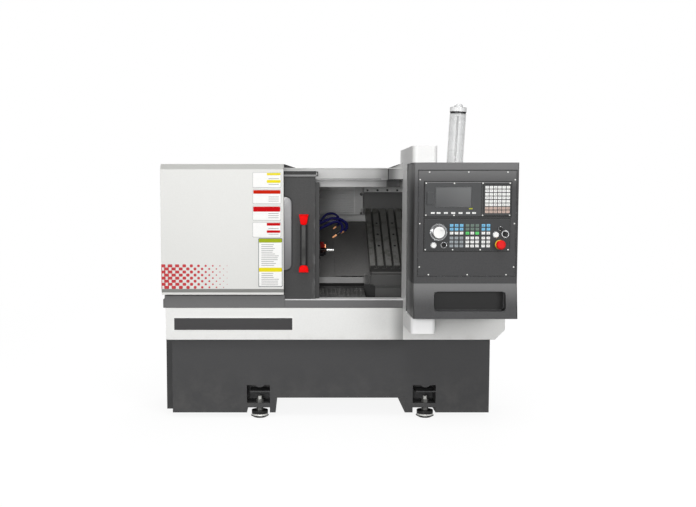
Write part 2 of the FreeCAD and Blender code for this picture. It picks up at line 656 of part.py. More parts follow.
def carriage(x0, x1, u0, u1, n0, n1, along_x, mid):
    # A guide block that straddles its rail.
    b = slab(x0, x1, u0, u1, n0 + 2, n1)
    w = RAIL_W / 2 + 0.3
    if along_x:
        return b.cut(slab(x0 - 1, x1 + 1, mid - w, mid + w, n0 - 1, n0 + RAIL_H + 0.3))
    return b.cut(slab(mid - w, mid + w, u0 - 1, u1 + 1, n0 - 1, n0 + RAIL_H + 0.3))


X_RAILS = (TABLE_LEFT + X_RAIL_INSET, TABLE_LEFT + TABLE_W - X_RAIL_INSET)
MID_X = TABLE_LEFT + TABLE_W / 2
MOTOR_U = 540.0


def make_saddle():
    plate = slab(SADDLE_X0, SADDLE_X1, SADDLE_U0, SADDLE_U1, SADDLE_N0, SADDLE_N1)
    y, z = slope(Z_SCREW_U, Z_SCREW_N)
    nut = slab(MID_X - 30, MID_X + 30, Z_SCREW_U - 30, Z_SCREW_U + 30, BED_N + 3, SADDLE_N0)
    nut = nut.cut(x_cyl(SCREW_R + FIT, MID_X - 31, MID_X + 31, y, z))
    tongue = slab(MID_X - 40, MID_X + 40, SADDLE_U1, MOTOR_U, SADDLE_N0 + 8, SADDLE_N0 + 20)
    up = slab(MID_X - 40, MID_X + 40, MOTOR_U - 6, MOTOR_U, SADDLE_N0 + 8, XSCREW_N + 35)
    up = up.cut(slope_cyl(XSCREW_R + 2, MID_X, XSCREW_N, MOTOR_U - 7, MOTOR_U + 1))
    body = fuse([plate, nut, tongue, up])
    solids = [body]
    for u in Z_RAIL_U:
        for x in (SADDLE_X0 + 5, SADDLE_X1 - 75):
            solids.append(carriage(x, x + 70, u - 30, u + 30, BED_N, SADDLE_N0, True, u))
    for x in X_RAILS:
        solids.append(slab(x - RAIL_W / 2, x + RAIL_W / 2, SADDLE_U0 + 5, SADDLE_U1, SADDLE_N1,
                           SADDLE_N1 + RAIL_H))
    for u in (SADDLE_U0 + 8, SADDLE_U1 - 20):
        b = slab(MID_X - 20, MID_X + 20, u, u + 16, SADDLE_N1, TABLE_TOP_GAP)
        solids.append(b.cut(slope_cyl(XSCREW_R + FIT, MID_X, XSCREW_N, u - 1, u + 17)))
    m = slab(MID_X - 35, MID_X + 35, MOTOR_U, MOTOR_U + 74, XSCREW_N - 35, XSCREW_N + 35)
    solids.append(m.cut(slope_cyl(XSCREW_R + FIT, MID_X, XSCREW_N, MOTOR_U - 1, MOTOR_U + 22)))
    save("saddle", group(solids))
    save("x_screw", slope_cyl(XSCREW_R, MID_X, XSCREW_N, SADDLE_U0 + 8, MOTOR_U + 20))


TABLE_TOP_GAP = -TABLE_T - 3.0


def make_apron():
    # Plate under the table's lower edge, bent back under the table to the saddle's end.
    n = TABLE_TOP_GAP
    u = -24.0
    front = slope(u, n)
    ya = front[0]
    pts = [(ya, 645), (ya, front[1]), slope(SADDLE_U0, n), slope(SADDLE_U0, SADDLE_N0),
           slope(SADDLE_U0 - 5, SADDLE_N0), slope(SADDLE_U0 - 5, n - 5), (ya + 6, front[1] - 3.5),
           (ya + 6, 645)]
    a = prism(pts, SADDLE_X0 + 0.5, SADDLE_X1 - 0.5)
    flat = [(ya, 645), (ya, front[1]), (ya + 6, front[1] - 1), (ya + 6, 645)]
    a = fuse([a, prism(flat, TABLE_LEFT + 4, TABLE_LEFT + TABLE_W)])
    br = box(TABLE_LEFT - 30, TABLE_LEFT - 1, ya - 16, ya + 6, 647, 707)
    br = br.cut(box(TABLE_LEFT - 31, TABLE_LEFT - 6, ya - 17, ya + 1, 656, 700))
    link = box(TABLE_LEFT - 2, TABLE_LEFT + 4.5, ya, ya + 6, 647, 698)
    return fuse([a, br, link])


def make_table():
    t = slab(TABLE_LEFT, TABLE_LEFT + TABLE_W, 0, TABLE_L, -TABLE_T, 0)
    heel = [slope(TABLE_L + 1, -TABLE_T - 1), slope(TABLE_L + 1, -TABLE_T + TABLE_HEEL),
            slope(TABLE_L - TABLE_HEEL, -TABLE_T - 1)]
    t = t.cut(prism(heel, TABLE_LEFT - 1, TABLE_LEFT + TABLE_W + 1))
    cuts = []
    for k in range(5):
        x = TABLE_LEFT + 33 + SLOT_PITCH * k
        cuts.append(slab(x - TSLOT_W / 2, x + TSLOT_W / 2, -1, TABLE_L + 1, -14, 1))
        cuts.append(slab(x - TSLOT_HEAD / 2, x + TSLOT_HEAD / 2, -1, TABLE_L + 1, -23, -14))
    for k in (1, 3):
        x = TABLE_LEFT + 13 + SLOT_PITCH * k
        for j in range(3):
            y, z = slope(TABLE_HOLE_U + TABLE_HOLE_PITCH * j, 1)
            cuts.append(cyl(TABLE_HOLE_R, (x, y, z), (0, SIN, -COS), 21))
    t = t.cut(cuts)
    solids = []
    for x in X_RAILS:
        for u in (190, 380):
            solids.append(carriage(x - 30, x + 30, u, u + 60, SADDLE_N1, -TABLE_T, False, x))
    nut = slab(MID_X - 22, MID_X + 22, 255, 305, SADDLE_N1 + 2, -TABLE_T)
    nut = nut.cut(slope_cyl(XSCREW_R + FIT, MID_X, XSCREW_N, 254, 306))
    save("cross_slide", fuse([t, nut] + solids))


TABLE_HOLE_U = 160.0
TABLE_HOLE_PITCH = 99.0
TABLE_HOLE_R = 4.25


MANIFOLD_X = BULK_LEFT + BULK_T + 14.0
# Each hose starts in the manifold and bends in an upright plane: its start in Y and Z, the
# plane's turn about Z, its first heading, its steps, its radius, and the length and tip radius
# of its nozzle. A step is a bend's radius and its turn in degrees, or 0 and a straight length.
HOSES = (
    (-2, 948, -3, 10, ((163, 40), (45, -110), (32, -82)), 5.5, 24, 4.0),
    (-33, 937, 0, 24, ((0, 125), (83.5, -64), (26, -110)), 7.5, 24, 5.5),
    (-66, 920, 2, 5, ((150, 20), (0, 98), (45, -25), (30, -145)), 6.5, 46, 4.5),
)


def hose_path(y, z, yaw, heading, steps):
    """Edges of a hose's centre line, its end and its last heading."""
    c, s = math.cos(math.radians(yaw)), math.sin(math.radians(yaw))

    def at(a, h):
        return V(MANIFOLD_X - 6 + a * c, y + a * s, z + h)
    a, h, t = 0.0, 0.0, math.radians(heading)
    edges = []
    for r, turn in steps:
        if r == 0:
            a1, h1 = a + turn * math.cos(t), h + turn * math.sin(t)
            edges.append(Part.makeLine(at(a, h), at(a1, h1)))
        else:
            r = math.copysign(r, turn)
            ca, ch = a - r * math.sin(t), h + r * math.cos(t)
            m = t + math.radians(turn) / 2
            t += math.radians(turn)
            a1, h1 = ca + r * math.sin(t), ch - r * math.cos(t)
            edges.append(Part.Arc(at(a, h), at(ca + r * math.sin(m), ch - r * math.cos(m)),
                                  at(a1, h1)).toShape())
        a, h = a1, h1
    return edges, at(a, h), V(math.cos(t) * c, math.cos(t) * s, math.sin(t))


def make_coolant():
    x = MANIFOLD_X
    block = box(BULK_LEFT + BULK_T, x, -80, 20, 905, 985)
    tubes = []
    tips = []
    for y, z, yaw, heading, steps, r, length, tip in HOSES:
        edges, end, d = hose_path(y, z, yaw, heading, steps)
        start = edges[0].Vertexes[0].Point
        first = hose_path(y, z, yaw, heading, ((0, 1),))[2]
        ring = Part.Wire(Part.Circle(start, first, r).toShape())
        tube = Part.Wire(edges).makePipeShell([ring], True, False)
        run = sum(e.Length for e in edges)
        print("hose", round(run), "mm, volume", round(tube.Volume / (math.pi * r * r * run), 4))
        tubes.append(tube)
        tips.append(Part.makeCone(r + 1, tip, length, end, d))
    save("coolant_hoses", fuse([block] + tubes))
    save("coolant_nozzles", group(tips))


def make_door():
    x0, x1, y, z0, z1 = DOOR_LEFT, DOOR_RIGHT, DOOR_FRONT, DOOR_LOW, DOOR_TOP
    t = DOOR_SKIN
    p = box(x0, x1, y, y + DOOR_T, z0, z1)
    p = p.cut(box(x0 + t, x1 - t, y + t, y + DOOR_T + 1, z0 + t, z1 - t))
    g = PANE_LAP + 0.5
    ring = box(WIN_X0 - g - 8, WIN_X1 + g + 8, y + t, y + DOOR_T, WIN_Z0 - g - 8, WIN_Z1 + g + 8)
    ring = ring.cut(box(WIN_X0 - g, WIN_X1 + g, y, y + DOOR_T + 1, WIN_Z0 - g, WIN_Z1 + g))
    p = fuse([p, ring])
    p = p.cut(round_box(WIN_X0, WIN_X1, y - 1, y + t + 1, WIN_Z0, WIN_Z1, WIN_R))
    # fin that runs in the sill's groove
    p = fuse([p, box(x0 + 20, x1 - 20, y + 11, y + 14, z0 - 10, z0 + 3)])
    save("door_panel", p)
    g = PANE_LAP
    save("door_window", box(WIN_X0 - g, WIN_X1 + g, y + t, y + t + PANE_T, WIN_Z0 - g, WIN_Z1 + g))
    rail = box(x0, x1 + 3, y - 4, y + DOOR_T, z1, z1 + 29)
    rail = rail.cut(box(x0 - 1, x1 + 4, y - 5, y - 2, z1 + 8, z1 + 14))
    loop = box(x1 + 3, x1 + 13, y - 4, y + 6, z1 + 4, z1 + 27)
    loop = loop.cut(box(x1 + 3, x1 + 9, y - 5, y + 7, z1 + 9, z1 + 22))
    strip = box(x1, x1 + 20, y + 17, y + DOOR_T, z0, z1 - 24)
    solids = [rail, loop]
    for x in ROLLER_X:
        pin = cyl(4.0, (x, y + DOOR_T, ROLLER_Z), (0, 1, 0), ROLLER_Y - y - DOOR_T + ROLLER_W)
        solids.append(pin)
    save("door_hanger", group([fuse(solids), strip]))
    h = HANDLE_X
    yf = y - HANDLE_OUT
    bar = box(h - HANDLE_W / 2, h + HANDLE_W / 2, yf, yf + HANDLE_THICK, CAP_LOW[1], CAP_HIGH[0])
    bar = bar.makeFillet(7.0, [e for e in bar.Edges if abs(e.Vertexes[0].Z - e.Vertexes[-1].Z) > 50])
    save("door_handle", bar)
    caps = []
    for z0, z1, up in ((CAP_LOW[0], CAP_LOW[1], True), (CAP_HIGH[0], CAP_HIGH[1], False)):
        c = round_box(h - CAP_W / 2, h + CAP_W / 2, yf - 2, y, z0, z1, 10.0)
        caps.append(c)
    save("handle_caps", group(caps))
    for k, x in enumerate(ROLLER_X):
        r = cyl(ROLLER_R, (x, ROLLER_Y, ROLLER_Z), (0, 1, 0), ROLLER_W)
        r = r.cut(cyl(4.0 + FIT, (x, ROLLER_Y - 1, ROLLER_Z), (0, 1, 0), ROLLER_W + 2))
        save("door_roller_%s" % ("left", "right")[k], r)


ROLLER_Z = HEADER_LOW + ROLLER_R + 0.3
ROLLER_Y = -142.0


def make_console():
    w = CON_WALL
    x0, x1, y0, yb = CON_LEFT, CON_RIGHT, CON_FRONT, CON_BACK
    lean = CON_LEAN
    prof = [(y0, CON_TOP), (y0, CON_KINK), (y0 - lean, CON_BOTTOM), (yb, CON_BOTTOM), (yb, CON_TOP)]
    c = prism(prof, x0, x1)
    edges = []
    for e in c.Edges:
        a = e.Vertexes[0].Point
        b = e.Vertexes[-1].Point
        if abs(a.z - b.z) > 10 and a.y < yb - 50 and b.y < yb - 50:
            edges.append(e)
    c = c.makeFillet(9.0, edges)
    k = w * (math.sqrt(1 + (lean / (CON_KINK - CON_BOTTOM)) ** 2))
    inner = [(y0 + w, CON_TOP - w), (y0 + w, CON_KINK), (y0 - lean + k, CON_BOTTOM + w),
             (yb - w, CON_BOTTOM + w), (yb - w, CON_TOP - w)]
    c = c.cut(prism(inner, x0 + w, x1 - w))
    tub = box(SLOT_X0 - 4, SLOT_X1 + 4, y0 - 10, y0 - lean + SLOT_DEEP + 4, SLOT_Z0 - 4, SLOT_Z1 + 4)
    tub = tub.cut(prism([(y0 - lean - 60, CON_TOP), (y0 - 5, CON_TOP), (y0 + 2, CON_KINK),
                         (y0 - lean + 2, CON_BOTTOM), (y0 - lean - 60, CON_BOTTOM)], x0, x1))
    c = fuse([c, tub])
    c = c.cut(round_box(SLOT_X0, SLOT_X1, y0 - 60, y0 - lean + SLOT_DEEP, SLOT_Z0, SLOT_Z1, 20))
    # recess for the front plate, and the opening behind it
    c = c.cut(box(PLATE_X0 - 0.3, PLATE_X1 + 0.3, y0 - 1, y0 + PLATE_T + 1, PLATE_Z0 - 0.3,
                  PLATE_Z1 + 0.3))
    c = c.cut(box(PLATE_X0 + 14, PLATE_X1 - 14, y0 - 1, y0 + w + 1, PLATE_Z0 + 14, PLATE_Z1 - 14))
    mid = POST_LEFT + POST_W / 2
    c = c.cut(cyl(30, (mid, yb - w - 1, 900), (0, 1, 0), w + 2))
    save("console_box", c)
    p = box(PLATE_X0, PLATE_X1, y0 + 1, y0 + 1 + PLATE_T, PLATE_Z0, PLATE_Z1)
    p = p.cut([box(DISP_X0 + 4, DISP_X1 - 4, y0, y0 + 9, DISP_Z0 + 4, DISP_Z1 - 4),
               box(OP_X0 + 4, OP_X1 - 4, y0, y0 + 9, OP_Z0 + 4, OP_Z1 - 4)])
    save("console_plate", p)


SEAT = CON_FRONT + 1.0    # front face of the console plate
USB = (409.0, 432.0, 1075.0, 1124.0)


def make_display():
    d = box(DISP_X0, DISP_X1, DISP_FRONT, SEAT, DISP_Z0, DISP_Z1)
    d = fuse([d, box(DISP_X0 + 4.5, DISP_X1 - 4.5, SEAT, SEAT + 30, DISP_Z0 + 4.5, DISP_Z1 - 4.5)])
    d = d.cut(box(SCR_X0, SCR_X1, DISP_FRONT - 1, DISP_FRONT + 4, SCR_Z0, SCR_Z1))
    d = d.cut(box(USB[0], USB[1], DISP_FRONT - 1, DISP_FRONT + 16, USB[2], USB[3]))
    d = d.cut(box(652.2, 653.4, DISP_FRONT - 1, DISP_FRONT + 1.5, DISP_Z0 - 1, DISP_Z1 + 1))
    save("display_unit", d)
    save("display_screen", box(SCR_X0 + 0.2, SCR_X1 - 0.2, DISP_FRONT + 1.5, DISP_FRONT + 4,
                               SCR_Z0 + 0.2, SCR_Z1 - 0.2))
    r = 2.5
    f = box(USB[0] - 3, USB[1] + 3, DISP_FRONT - 3, DISP_FRONT - 0.4, USB[2] - 4, USB[3] + 4)
    f = f.cut(cyl(r + 1, (USB[0] - 3, DISP_FRONT - r - 0.4, USB[2] - 5), (0, 0, 1), 60))
    f = fuse([f, cyl(r, (USB[0] - 3, DISP_FRONT - r - 0.4, USB[2] - 4), (0, 0, 1), 57),
              box(USB[0] - 3, USB[0] + 3, DISP_FRONT - 3, DISP_FRONT - 0.8, USB[2] - 4, USB[3] + 4)])
    save("usb_flap", f)


DIALS = {
    "handwheel": (460.0, 946.0, 39.0, 31.0, 22.0),
    "button_left": (438.0, 887.0, 15.0, 11.5, 9.0),
    "key_switch": (484.0, 888.0, 15.0, 10.5, 6.0),
    "knob_small": (739.0, 963.0, 10.0, 7.5, 15.0),
    "button_right": (719.0, 935.0, 15.0, 11.5, 9.0),
    "selector": (762.0, 938.0, 17.0, 12.5, 20.0),
}
STOP = (738.0, 890.0)
STEM_R = 5.0


def make_operator():
    p = box(OP_X0, OP_X1, OP_FRONT, SEAT, OP_Z0, OP_Z1)
    p = fuse([p, box(OP_X0 + 4.5, OP_X1 - 4.5, SEAT, OP_FRONT + OP_T, OP_Z0 + 4.5, OP_Z1 - 4.5)])
    for name in DIALS:
        x, z = DIALS[name][0:2]
        p = p.cut(cyl(STEM_R + STEM_FIT, (x, OP_FRONT - 1, z), (0, 1, 0), 17))
    p = p.cut(cyl(8.1, (STOP[0], OP_FRONT - 1, STOP[1]), (0, 1, 0), 17))
    save("operator_panel", p)
    rings = []
    for name in DIALS:
        x, z, r, ri, out = DIALS[name]
        ring = dial(r, x, z, OP_FRONT - 5, 5, 1.2)
        rings.append(ring.cut(cyl(ri + 0.5, (x, OP_FRONT - 6, z), (0, 1, 0), 7)))
        back = 3.5 if name.startswith("button") else 1.0
        cap = dial(ri, x, z, OP_FRONT - 1 - out, out - back, 1.2)
        if name == "handwheel":
            cap = fuse([cap, dial(6, x + 14, z + 14, OP_FRONT - 1 - out - 12, 13, 1.0)])
        if name == "selector":
            a = cyl(40, (x + 44.5, OP_FRONT - out - 2, z), (0, 1, 0), 12)
            b = cyl(40, (x - 44.5, OP_FRONT - out - 2, z), (0, 1, 0), 12)
            cap = cap.cut([a, b])
        if name == "key_switch":
            cap = cap.cut(box(x - 1.2, x + 1.2, OP_FRONT - 8, OP_FRONT - 4, z - 5, z + 5))
        stem = cyl(STEM_R, (x, OP_FRONT - 5, z), (0, 1, 0), 15)
        save(name, fuse([cap, stem]))
    x, z = STOP
    ring = dial(21.5, x, z, OP_FRONT - 5, 5, 1.5)
    save("stop_ring", ring.cut(cyl(8.5, (x, OP_FRONT - 6, z), (0, 1, 0), 7)))
    save("panel_bezels", group(rings))
    y = OP_FRONT
    stem = cyl(8.0, (x, y - 19, z), (0, 1, 0), 29)
    stem = fuse([stem, cyl(4.0, (x, y - 28, z), (0, 1, 0), 10)])
    save("stop_stem", stem)
    head = dial(21.0, x, z, -600.0, 16.0, 5.0)
    save("stop_button", head.cut(cyl(4.0 + FIT, (x, y - 28.3, z), (0, 1, 0), 30)))


KEY_COLS = (519.0, 541.5, 564.0, 591.0, 613.0, 635.0, 663.0, 685.5)
KEY_ROWS = (977.0, 960.0, 942.0, 920.0, 902.0, 884.0)
SOFT_X = (433.0, 459.0, 492.0, 525.0, 558.0, 592.0, 619.0)


def make_keys():
    keys = []
    y = DISP_FRONT
    for c in range(6):
        for r in range(8):
            x = 676.5 + 19.1 * c
            z = 1148.5 - 15.7 * r
            keys.append(box(x - 8, x + 8, y - KEY_T, y, z - 6, z + 6))
    for x in SOFT_X:
        keys.append(box(x - 9, x + 9, y - KEY_T, y, 1029, 1037))
    y = OP_FRONT
    for x in KEY_COLS:
        for z in KEY_ROWS:
            keys.append(box(x - 8, x + 8, y - KEY_T, y, z - 6.2, z + 6.2))
    save("panel_keys", group(keys))


def make_screws():
    out = []

    def add(x, z, y, r=3.2):
        out.append(dial(r, x, z, y - 1.6, 1.6, 0.8))
    for x in (417.0, 593.5, 770.0):
        add(x, PLATE_Z1 - 7, SEAT)
        add(x, PLATE_Z0 + 6, SEAT)
    for z in (1183.0, 985.0, 788.0):
        add(PLATE_X0 + 6, z, SEAT)
        add(PLATE_X1 - 6, z, SEAT)
    for x in (DISP_X0 + 6, 529.0, 658.0, DISP_X1 - 6):
        add(x, DISP_Z1 - 5, DISP_FRONT)
        add(x, DISP_Z0 + 5, DISP_FRONT)
    for x in (OP_X0 + 5, 525.0, 650.0, OP_X1 - 5):
        add(x, OP_Z0 + 5, OP_FRONT)
    save("console_screws", group(out))


def make_lamp():
    a = math.radians(LAMP_LEAN)
    d = V(math.sin(a), 0, math.cos(a))
    p = V(LAMP_X, LAMP_Y, ROOF_Z)

    def at(s):
        return p + d * s

    def lean_cyl(r, s0, s1, r1=None):
        if r1 is None:
            return Part.makeCylinder(r, s1 - s0, at(s0), d)
        return Part.makeCone(r, r1, s1 - s0, at(s0), d)
    foot = Part.makeCylinder(LAMP_R - 6, 10, p, V(0, 0, 1))
    foot = fuse([foot, lean_cyl(LAMP_R - 2, 6, 16)])
    top = LAMP_TOP
    ring = lean_cyl(LAMP_R - 3, top - 50, top - 43)
    cap = lean_cyl(LAMP_R - 1, top - 43, top - 18)
    knob = lean_cyl(22.0, top - 18, top - 6)
    knob = fuse([knob, lean_cyl(22.0, top - 6, top, 16.0)])
    save("lamp_lens", lean_cyl(LAMP_R, 16, top - 50, LAMP_R - 2))
    save("lamp_fittings", group([foot, ring, fuse([cap, knob])]))


def make_rear():
    w = BASE_WALL
    x0 = POCKET_X[1] + POCKET_W / 2 + w - 5
    x1 = BASE_RIGHT - w + 5
    z0 = BASE_BOTTOM + w - 5
    z1 = CABINET_TOP + 5
    y = BASE_BACK + 0.3
    p = x1 + 4.0
    d = box(x0, x1, y, y + 5, z0, z1)
    d = fuse([d, cyl(5, (p, y + 6, z0 + 20), (0, 0, 1), z1 - z0 - 40),
              box(x1 - 1, p, y + 3, y + 6, z0 + 20, z1 - 20)])
    d = d.cut(cyl(6.1, (x0 + 24, y - 1, LATCH_Z), (0, 1, 0), 8))
    d = d.cut(cyl(2.5 + FIT, (p, y + 6, z0), (0, 0, 1), z1 - z0))
    for z in (z0 - 1, z1 - 20):
        d = d.cut(box(x1 - 10, x1 + 1, y - 1, y + 7, z, z + 21))
    save("cabinet_door", d)
    pin = cyl(2.5, (p, y + 6, z0 + 4), (0, 0, 1), z1 - z0 - 8)
    for z in (z0 + 4, z1 - 18):
        pin = fuse([pin, box(p - 3, p + 5, BASE_BACK, y + 10, z, z + 14)])
    PARTS["base_cabinet"] = fuse([PARTS["base_cabinet"], pin])
    k = cyl(6.0, (x0 + 24, y - 4, LATCH_Z), (0, 1, 0), 12)
    k = fuse([k, dial(13, x0 + 24, LATCH_Z, y + 5.3, 6, 1.0),
              box(x0 + 24 - 4, x0 + 24 + 4, y + 8, y + 22, LATCH_Z - 18, LATCH_Z + 18)])
    save("cabinet_latch", k)
    a = LEG_LEFT_END + w + 8
    b = LEG_RIGHT_START - w - 8
    t = box(a, b, TANK_FRONT, BASE_BACK + 4, BELLY_Z + w + 0.3, TANK_TOP)
    t = t.cut(box(a + 4, b - 4, TANK_FRONT + 4, BASE_BACK, BELLY_Z + w + 4, TANK_TOP + 1))
    lid = box(a, b, BASE_BACK - 150, BASE_BACK + 4, TANK_TOP, TANK_TOP + 5)
    grip = box(-30, 100, BASE_BACK + 3, BASE_BACK + 40, 190, 220)
    grip = grip.cut(box(-18, 88, BASE_BACK + 4, BASE_BACK + 28, 189, 221))
    pump = cyl(45, (200, BASE_BACK - 80, BELLY_Z + 40), (0, 0, 1), TANK_TOP - BELLY_Z - 40)
    motor = cyl(40, (200, BASE_BACK - 80, TANK_TOP + 5), (0, 0, 1), PUMP_H)
    pump = pump.cut(box(100, 300, 300, 500, TANK_TOP - 0.5, TANK_TOP + 100))
    save("coolant_tank", group([fuse([t, lid, grip]), pump, motor]))


LATCH_Z = 190.0
TANK_FRONT = -60.0
PUMP_H = 65.0             # pump motor, on the tank's lid
PUMP_CLEAR = 18.0
TANK_TOP = BASE_TOP - BASE_WALL - PUMP_CLEAR - PUMP_H - 5


def main():
    make_base()
    make_feet()
    make_bed()
    make_pan()
    make_left_cover()
    make_sill()
    make_header()
    make_shell()
    make_post()
    make_bulkheads()
    make_shroud()
    make_way_covers()
    make_headstock()
    make_spindle()
    make_z_guides()
    make_saddle()
    make_table()
    make_coolant()
    make_door()
    make_console()
    make_display()
    make_operator()
    make_keys()
    make_screws()
    make_lamp()
    make_rear()
    os.makedirs("parts", exist_ok=True)
    for name, shape in PARTS.items():
        if not shape.isValid():
            print("not valid:", name)
        shape.exportStep("parts/%s.step" % name)
    print(len(PARTS), "pieces")


main()
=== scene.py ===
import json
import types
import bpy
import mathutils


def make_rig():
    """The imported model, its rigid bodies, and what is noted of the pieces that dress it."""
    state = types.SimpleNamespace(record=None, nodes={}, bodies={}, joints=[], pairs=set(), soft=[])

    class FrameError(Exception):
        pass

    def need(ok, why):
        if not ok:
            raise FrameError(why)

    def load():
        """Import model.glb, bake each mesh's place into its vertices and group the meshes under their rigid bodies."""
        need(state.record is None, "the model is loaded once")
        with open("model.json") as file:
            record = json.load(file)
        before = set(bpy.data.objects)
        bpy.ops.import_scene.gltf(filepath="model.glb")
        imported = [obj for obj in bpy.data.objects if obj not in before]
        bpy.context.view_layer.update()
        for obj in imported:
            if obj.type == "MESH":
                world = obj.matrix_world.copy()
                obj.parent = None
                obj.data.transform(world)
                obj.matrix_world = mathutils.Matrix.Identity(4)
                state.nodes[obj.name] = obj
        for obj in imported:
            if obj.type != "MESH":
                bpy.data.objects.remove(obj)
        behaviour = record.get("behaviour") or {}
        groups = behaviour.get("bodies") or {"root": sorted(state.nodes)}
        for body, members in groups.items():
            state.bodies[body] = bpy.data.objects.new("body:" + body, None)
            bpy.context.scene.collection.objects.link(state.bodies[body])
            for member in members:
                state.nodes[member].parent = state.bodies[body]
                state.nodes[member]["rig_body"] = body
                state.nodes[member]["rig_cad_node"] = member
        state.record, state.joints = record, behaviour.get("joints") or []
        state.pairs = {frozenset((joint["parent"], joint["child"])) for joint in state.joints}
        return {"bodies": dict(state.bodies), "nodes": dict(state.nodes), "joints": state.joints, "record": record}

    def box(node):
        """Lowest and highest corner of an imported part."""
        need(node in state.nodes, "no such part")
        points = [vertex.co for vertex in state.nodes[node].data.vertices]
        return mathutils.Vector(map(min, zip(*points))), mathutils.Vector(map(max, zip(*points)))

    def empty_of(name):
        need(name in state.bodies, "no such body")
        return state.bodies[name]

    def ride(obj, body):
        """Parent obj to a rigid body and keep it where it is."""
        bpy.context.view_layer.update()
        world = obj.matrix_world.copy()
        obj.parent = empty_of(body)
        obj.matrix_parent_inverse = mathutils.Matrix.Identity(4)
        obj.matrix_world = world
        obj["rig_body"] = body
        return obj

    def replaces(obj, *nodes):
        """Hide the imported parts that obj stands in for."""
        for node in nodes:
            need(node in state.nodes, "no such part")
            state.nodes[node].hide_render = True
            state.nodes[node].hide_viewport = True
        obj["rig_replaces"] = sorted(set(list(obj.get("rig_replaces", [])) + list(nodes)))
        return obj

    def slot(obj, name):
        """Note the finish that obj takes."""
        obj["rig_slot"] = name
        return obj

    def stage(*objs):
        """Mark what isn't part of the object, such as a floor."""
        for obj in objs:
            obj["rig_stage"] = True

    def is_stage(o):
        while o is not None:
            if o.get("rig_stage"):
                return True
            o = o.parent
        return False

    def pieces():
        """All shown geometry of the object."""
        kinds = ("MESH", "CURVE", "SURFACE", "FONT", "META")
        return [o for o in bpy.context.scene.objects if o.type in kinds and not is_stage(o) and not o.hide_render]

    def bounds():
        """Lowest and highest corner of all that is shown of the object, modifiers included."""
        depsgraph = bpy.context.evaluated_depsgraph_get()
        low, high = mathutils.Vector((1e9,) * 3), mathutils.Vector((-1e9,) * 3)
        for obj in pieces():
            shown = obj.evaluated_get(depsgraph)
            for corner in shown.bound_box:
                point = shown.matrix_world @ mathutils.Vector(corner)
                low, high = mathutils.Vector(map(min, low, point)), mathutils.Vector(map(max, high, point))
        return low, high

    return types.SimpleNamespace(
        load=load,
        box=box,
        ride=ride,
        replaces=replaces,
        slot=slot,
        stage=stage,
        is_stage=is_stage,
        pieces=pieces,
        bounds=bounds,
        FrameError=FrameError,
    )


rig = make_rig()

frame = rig.load()
cad_box = [list(corner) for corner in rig.bounds()]

import json
import math
import random

import bmesh
import bpy
from mathutils import Matrix, Vector

nodes = frame["nodes"]
scene = bpy.context.scene

# The photographer's stand: a camera a little above the chuck's height, five degrees
# nose down, its picture cut so that the machine sits low and right of the middle.
lens_data = bpy.data.cameras.new("photo_camera")
lens_data.sensor_width = 36.0
lens_data.lens = 49.14
lens_data.shift_x = 0.069
lens_data.shift_y = 0.0325
lens_data.clip_start, lens_data.clip_end = 0.1, 100.0
stand = bpy.data.objects.new("photo_camera", lens_data)
scene.collection.objects.link(stand)
stand.location = (-0.167, -4.865, 1.1231)
stand.rotation_euler = (math.radians(85.0), 0.0, 0.0)
scene.camera = stand
scene.view_settings.view_transform = "Standard"


# The studio: a pale floor that keeps the machine's shadow, a white surround, and big
# soft boxes at a plain level. The surround is white only for the eye and for gloss.
def operator(operation, swapped=False):
    """A maths node as one of Python's operators between two wires, or a wire and a number."""
    def apply(wire, other):
        return wire.math(operation, *((other, wire) if swapped else (wire, other)))
    return apply


class Wire:
    """One output of a material's nodes. Sums, products and powers of wires add maths nodes."""

    def __init__(self, mix, socket):
        self.mix, self.socket = mix, socket

    def math(self, operation, *inputs):
        return self.mix.node("ShaderNodeMath", {"operation": operation}, dict(enumerate(inputs)))

    __add__, __radd__ = operator("ADD"), operator("ADD", swapped=True)
    __sub__, __rsub__ = operator("SUBTRACT"), operator("SUBTRACT", swapped=True)
    __mul__, __rmul__ = operator("MULTIPLY"), operator("MULTIPLY", swapped=True)
    __truediv__, __pow__ = operator("DIVIDE"), operator("POWER")
    __lt__, __gt__ = operator("LESS_THAN"), operator("GREATER_THAN")
    greater, lesser = operator("MAXIMUM"), operator("MINIMUM")

    def __abs__(self):
        return self.math("ABSOLUTE", self)

    def __round__(self):
        return self.math("ROUND", self)

    def between(self, low, high):
        """1 between low and high, 0 elsewhere."""
        return (self > low) * (self < high)

    def of(self, output):
        """Another output of the same node."""
        return Wire(self.mix, self.socket.node.outputs[output])

    def steps(self, low, high):
        """0 below low, 1 above high, smooth in between."""
        return self.mix.node("ShaderNodeMapRange", {"interpolation_type": "SMOOTHSTEP"},
                             {"Value": self, "From Min": low, "From Max": high})


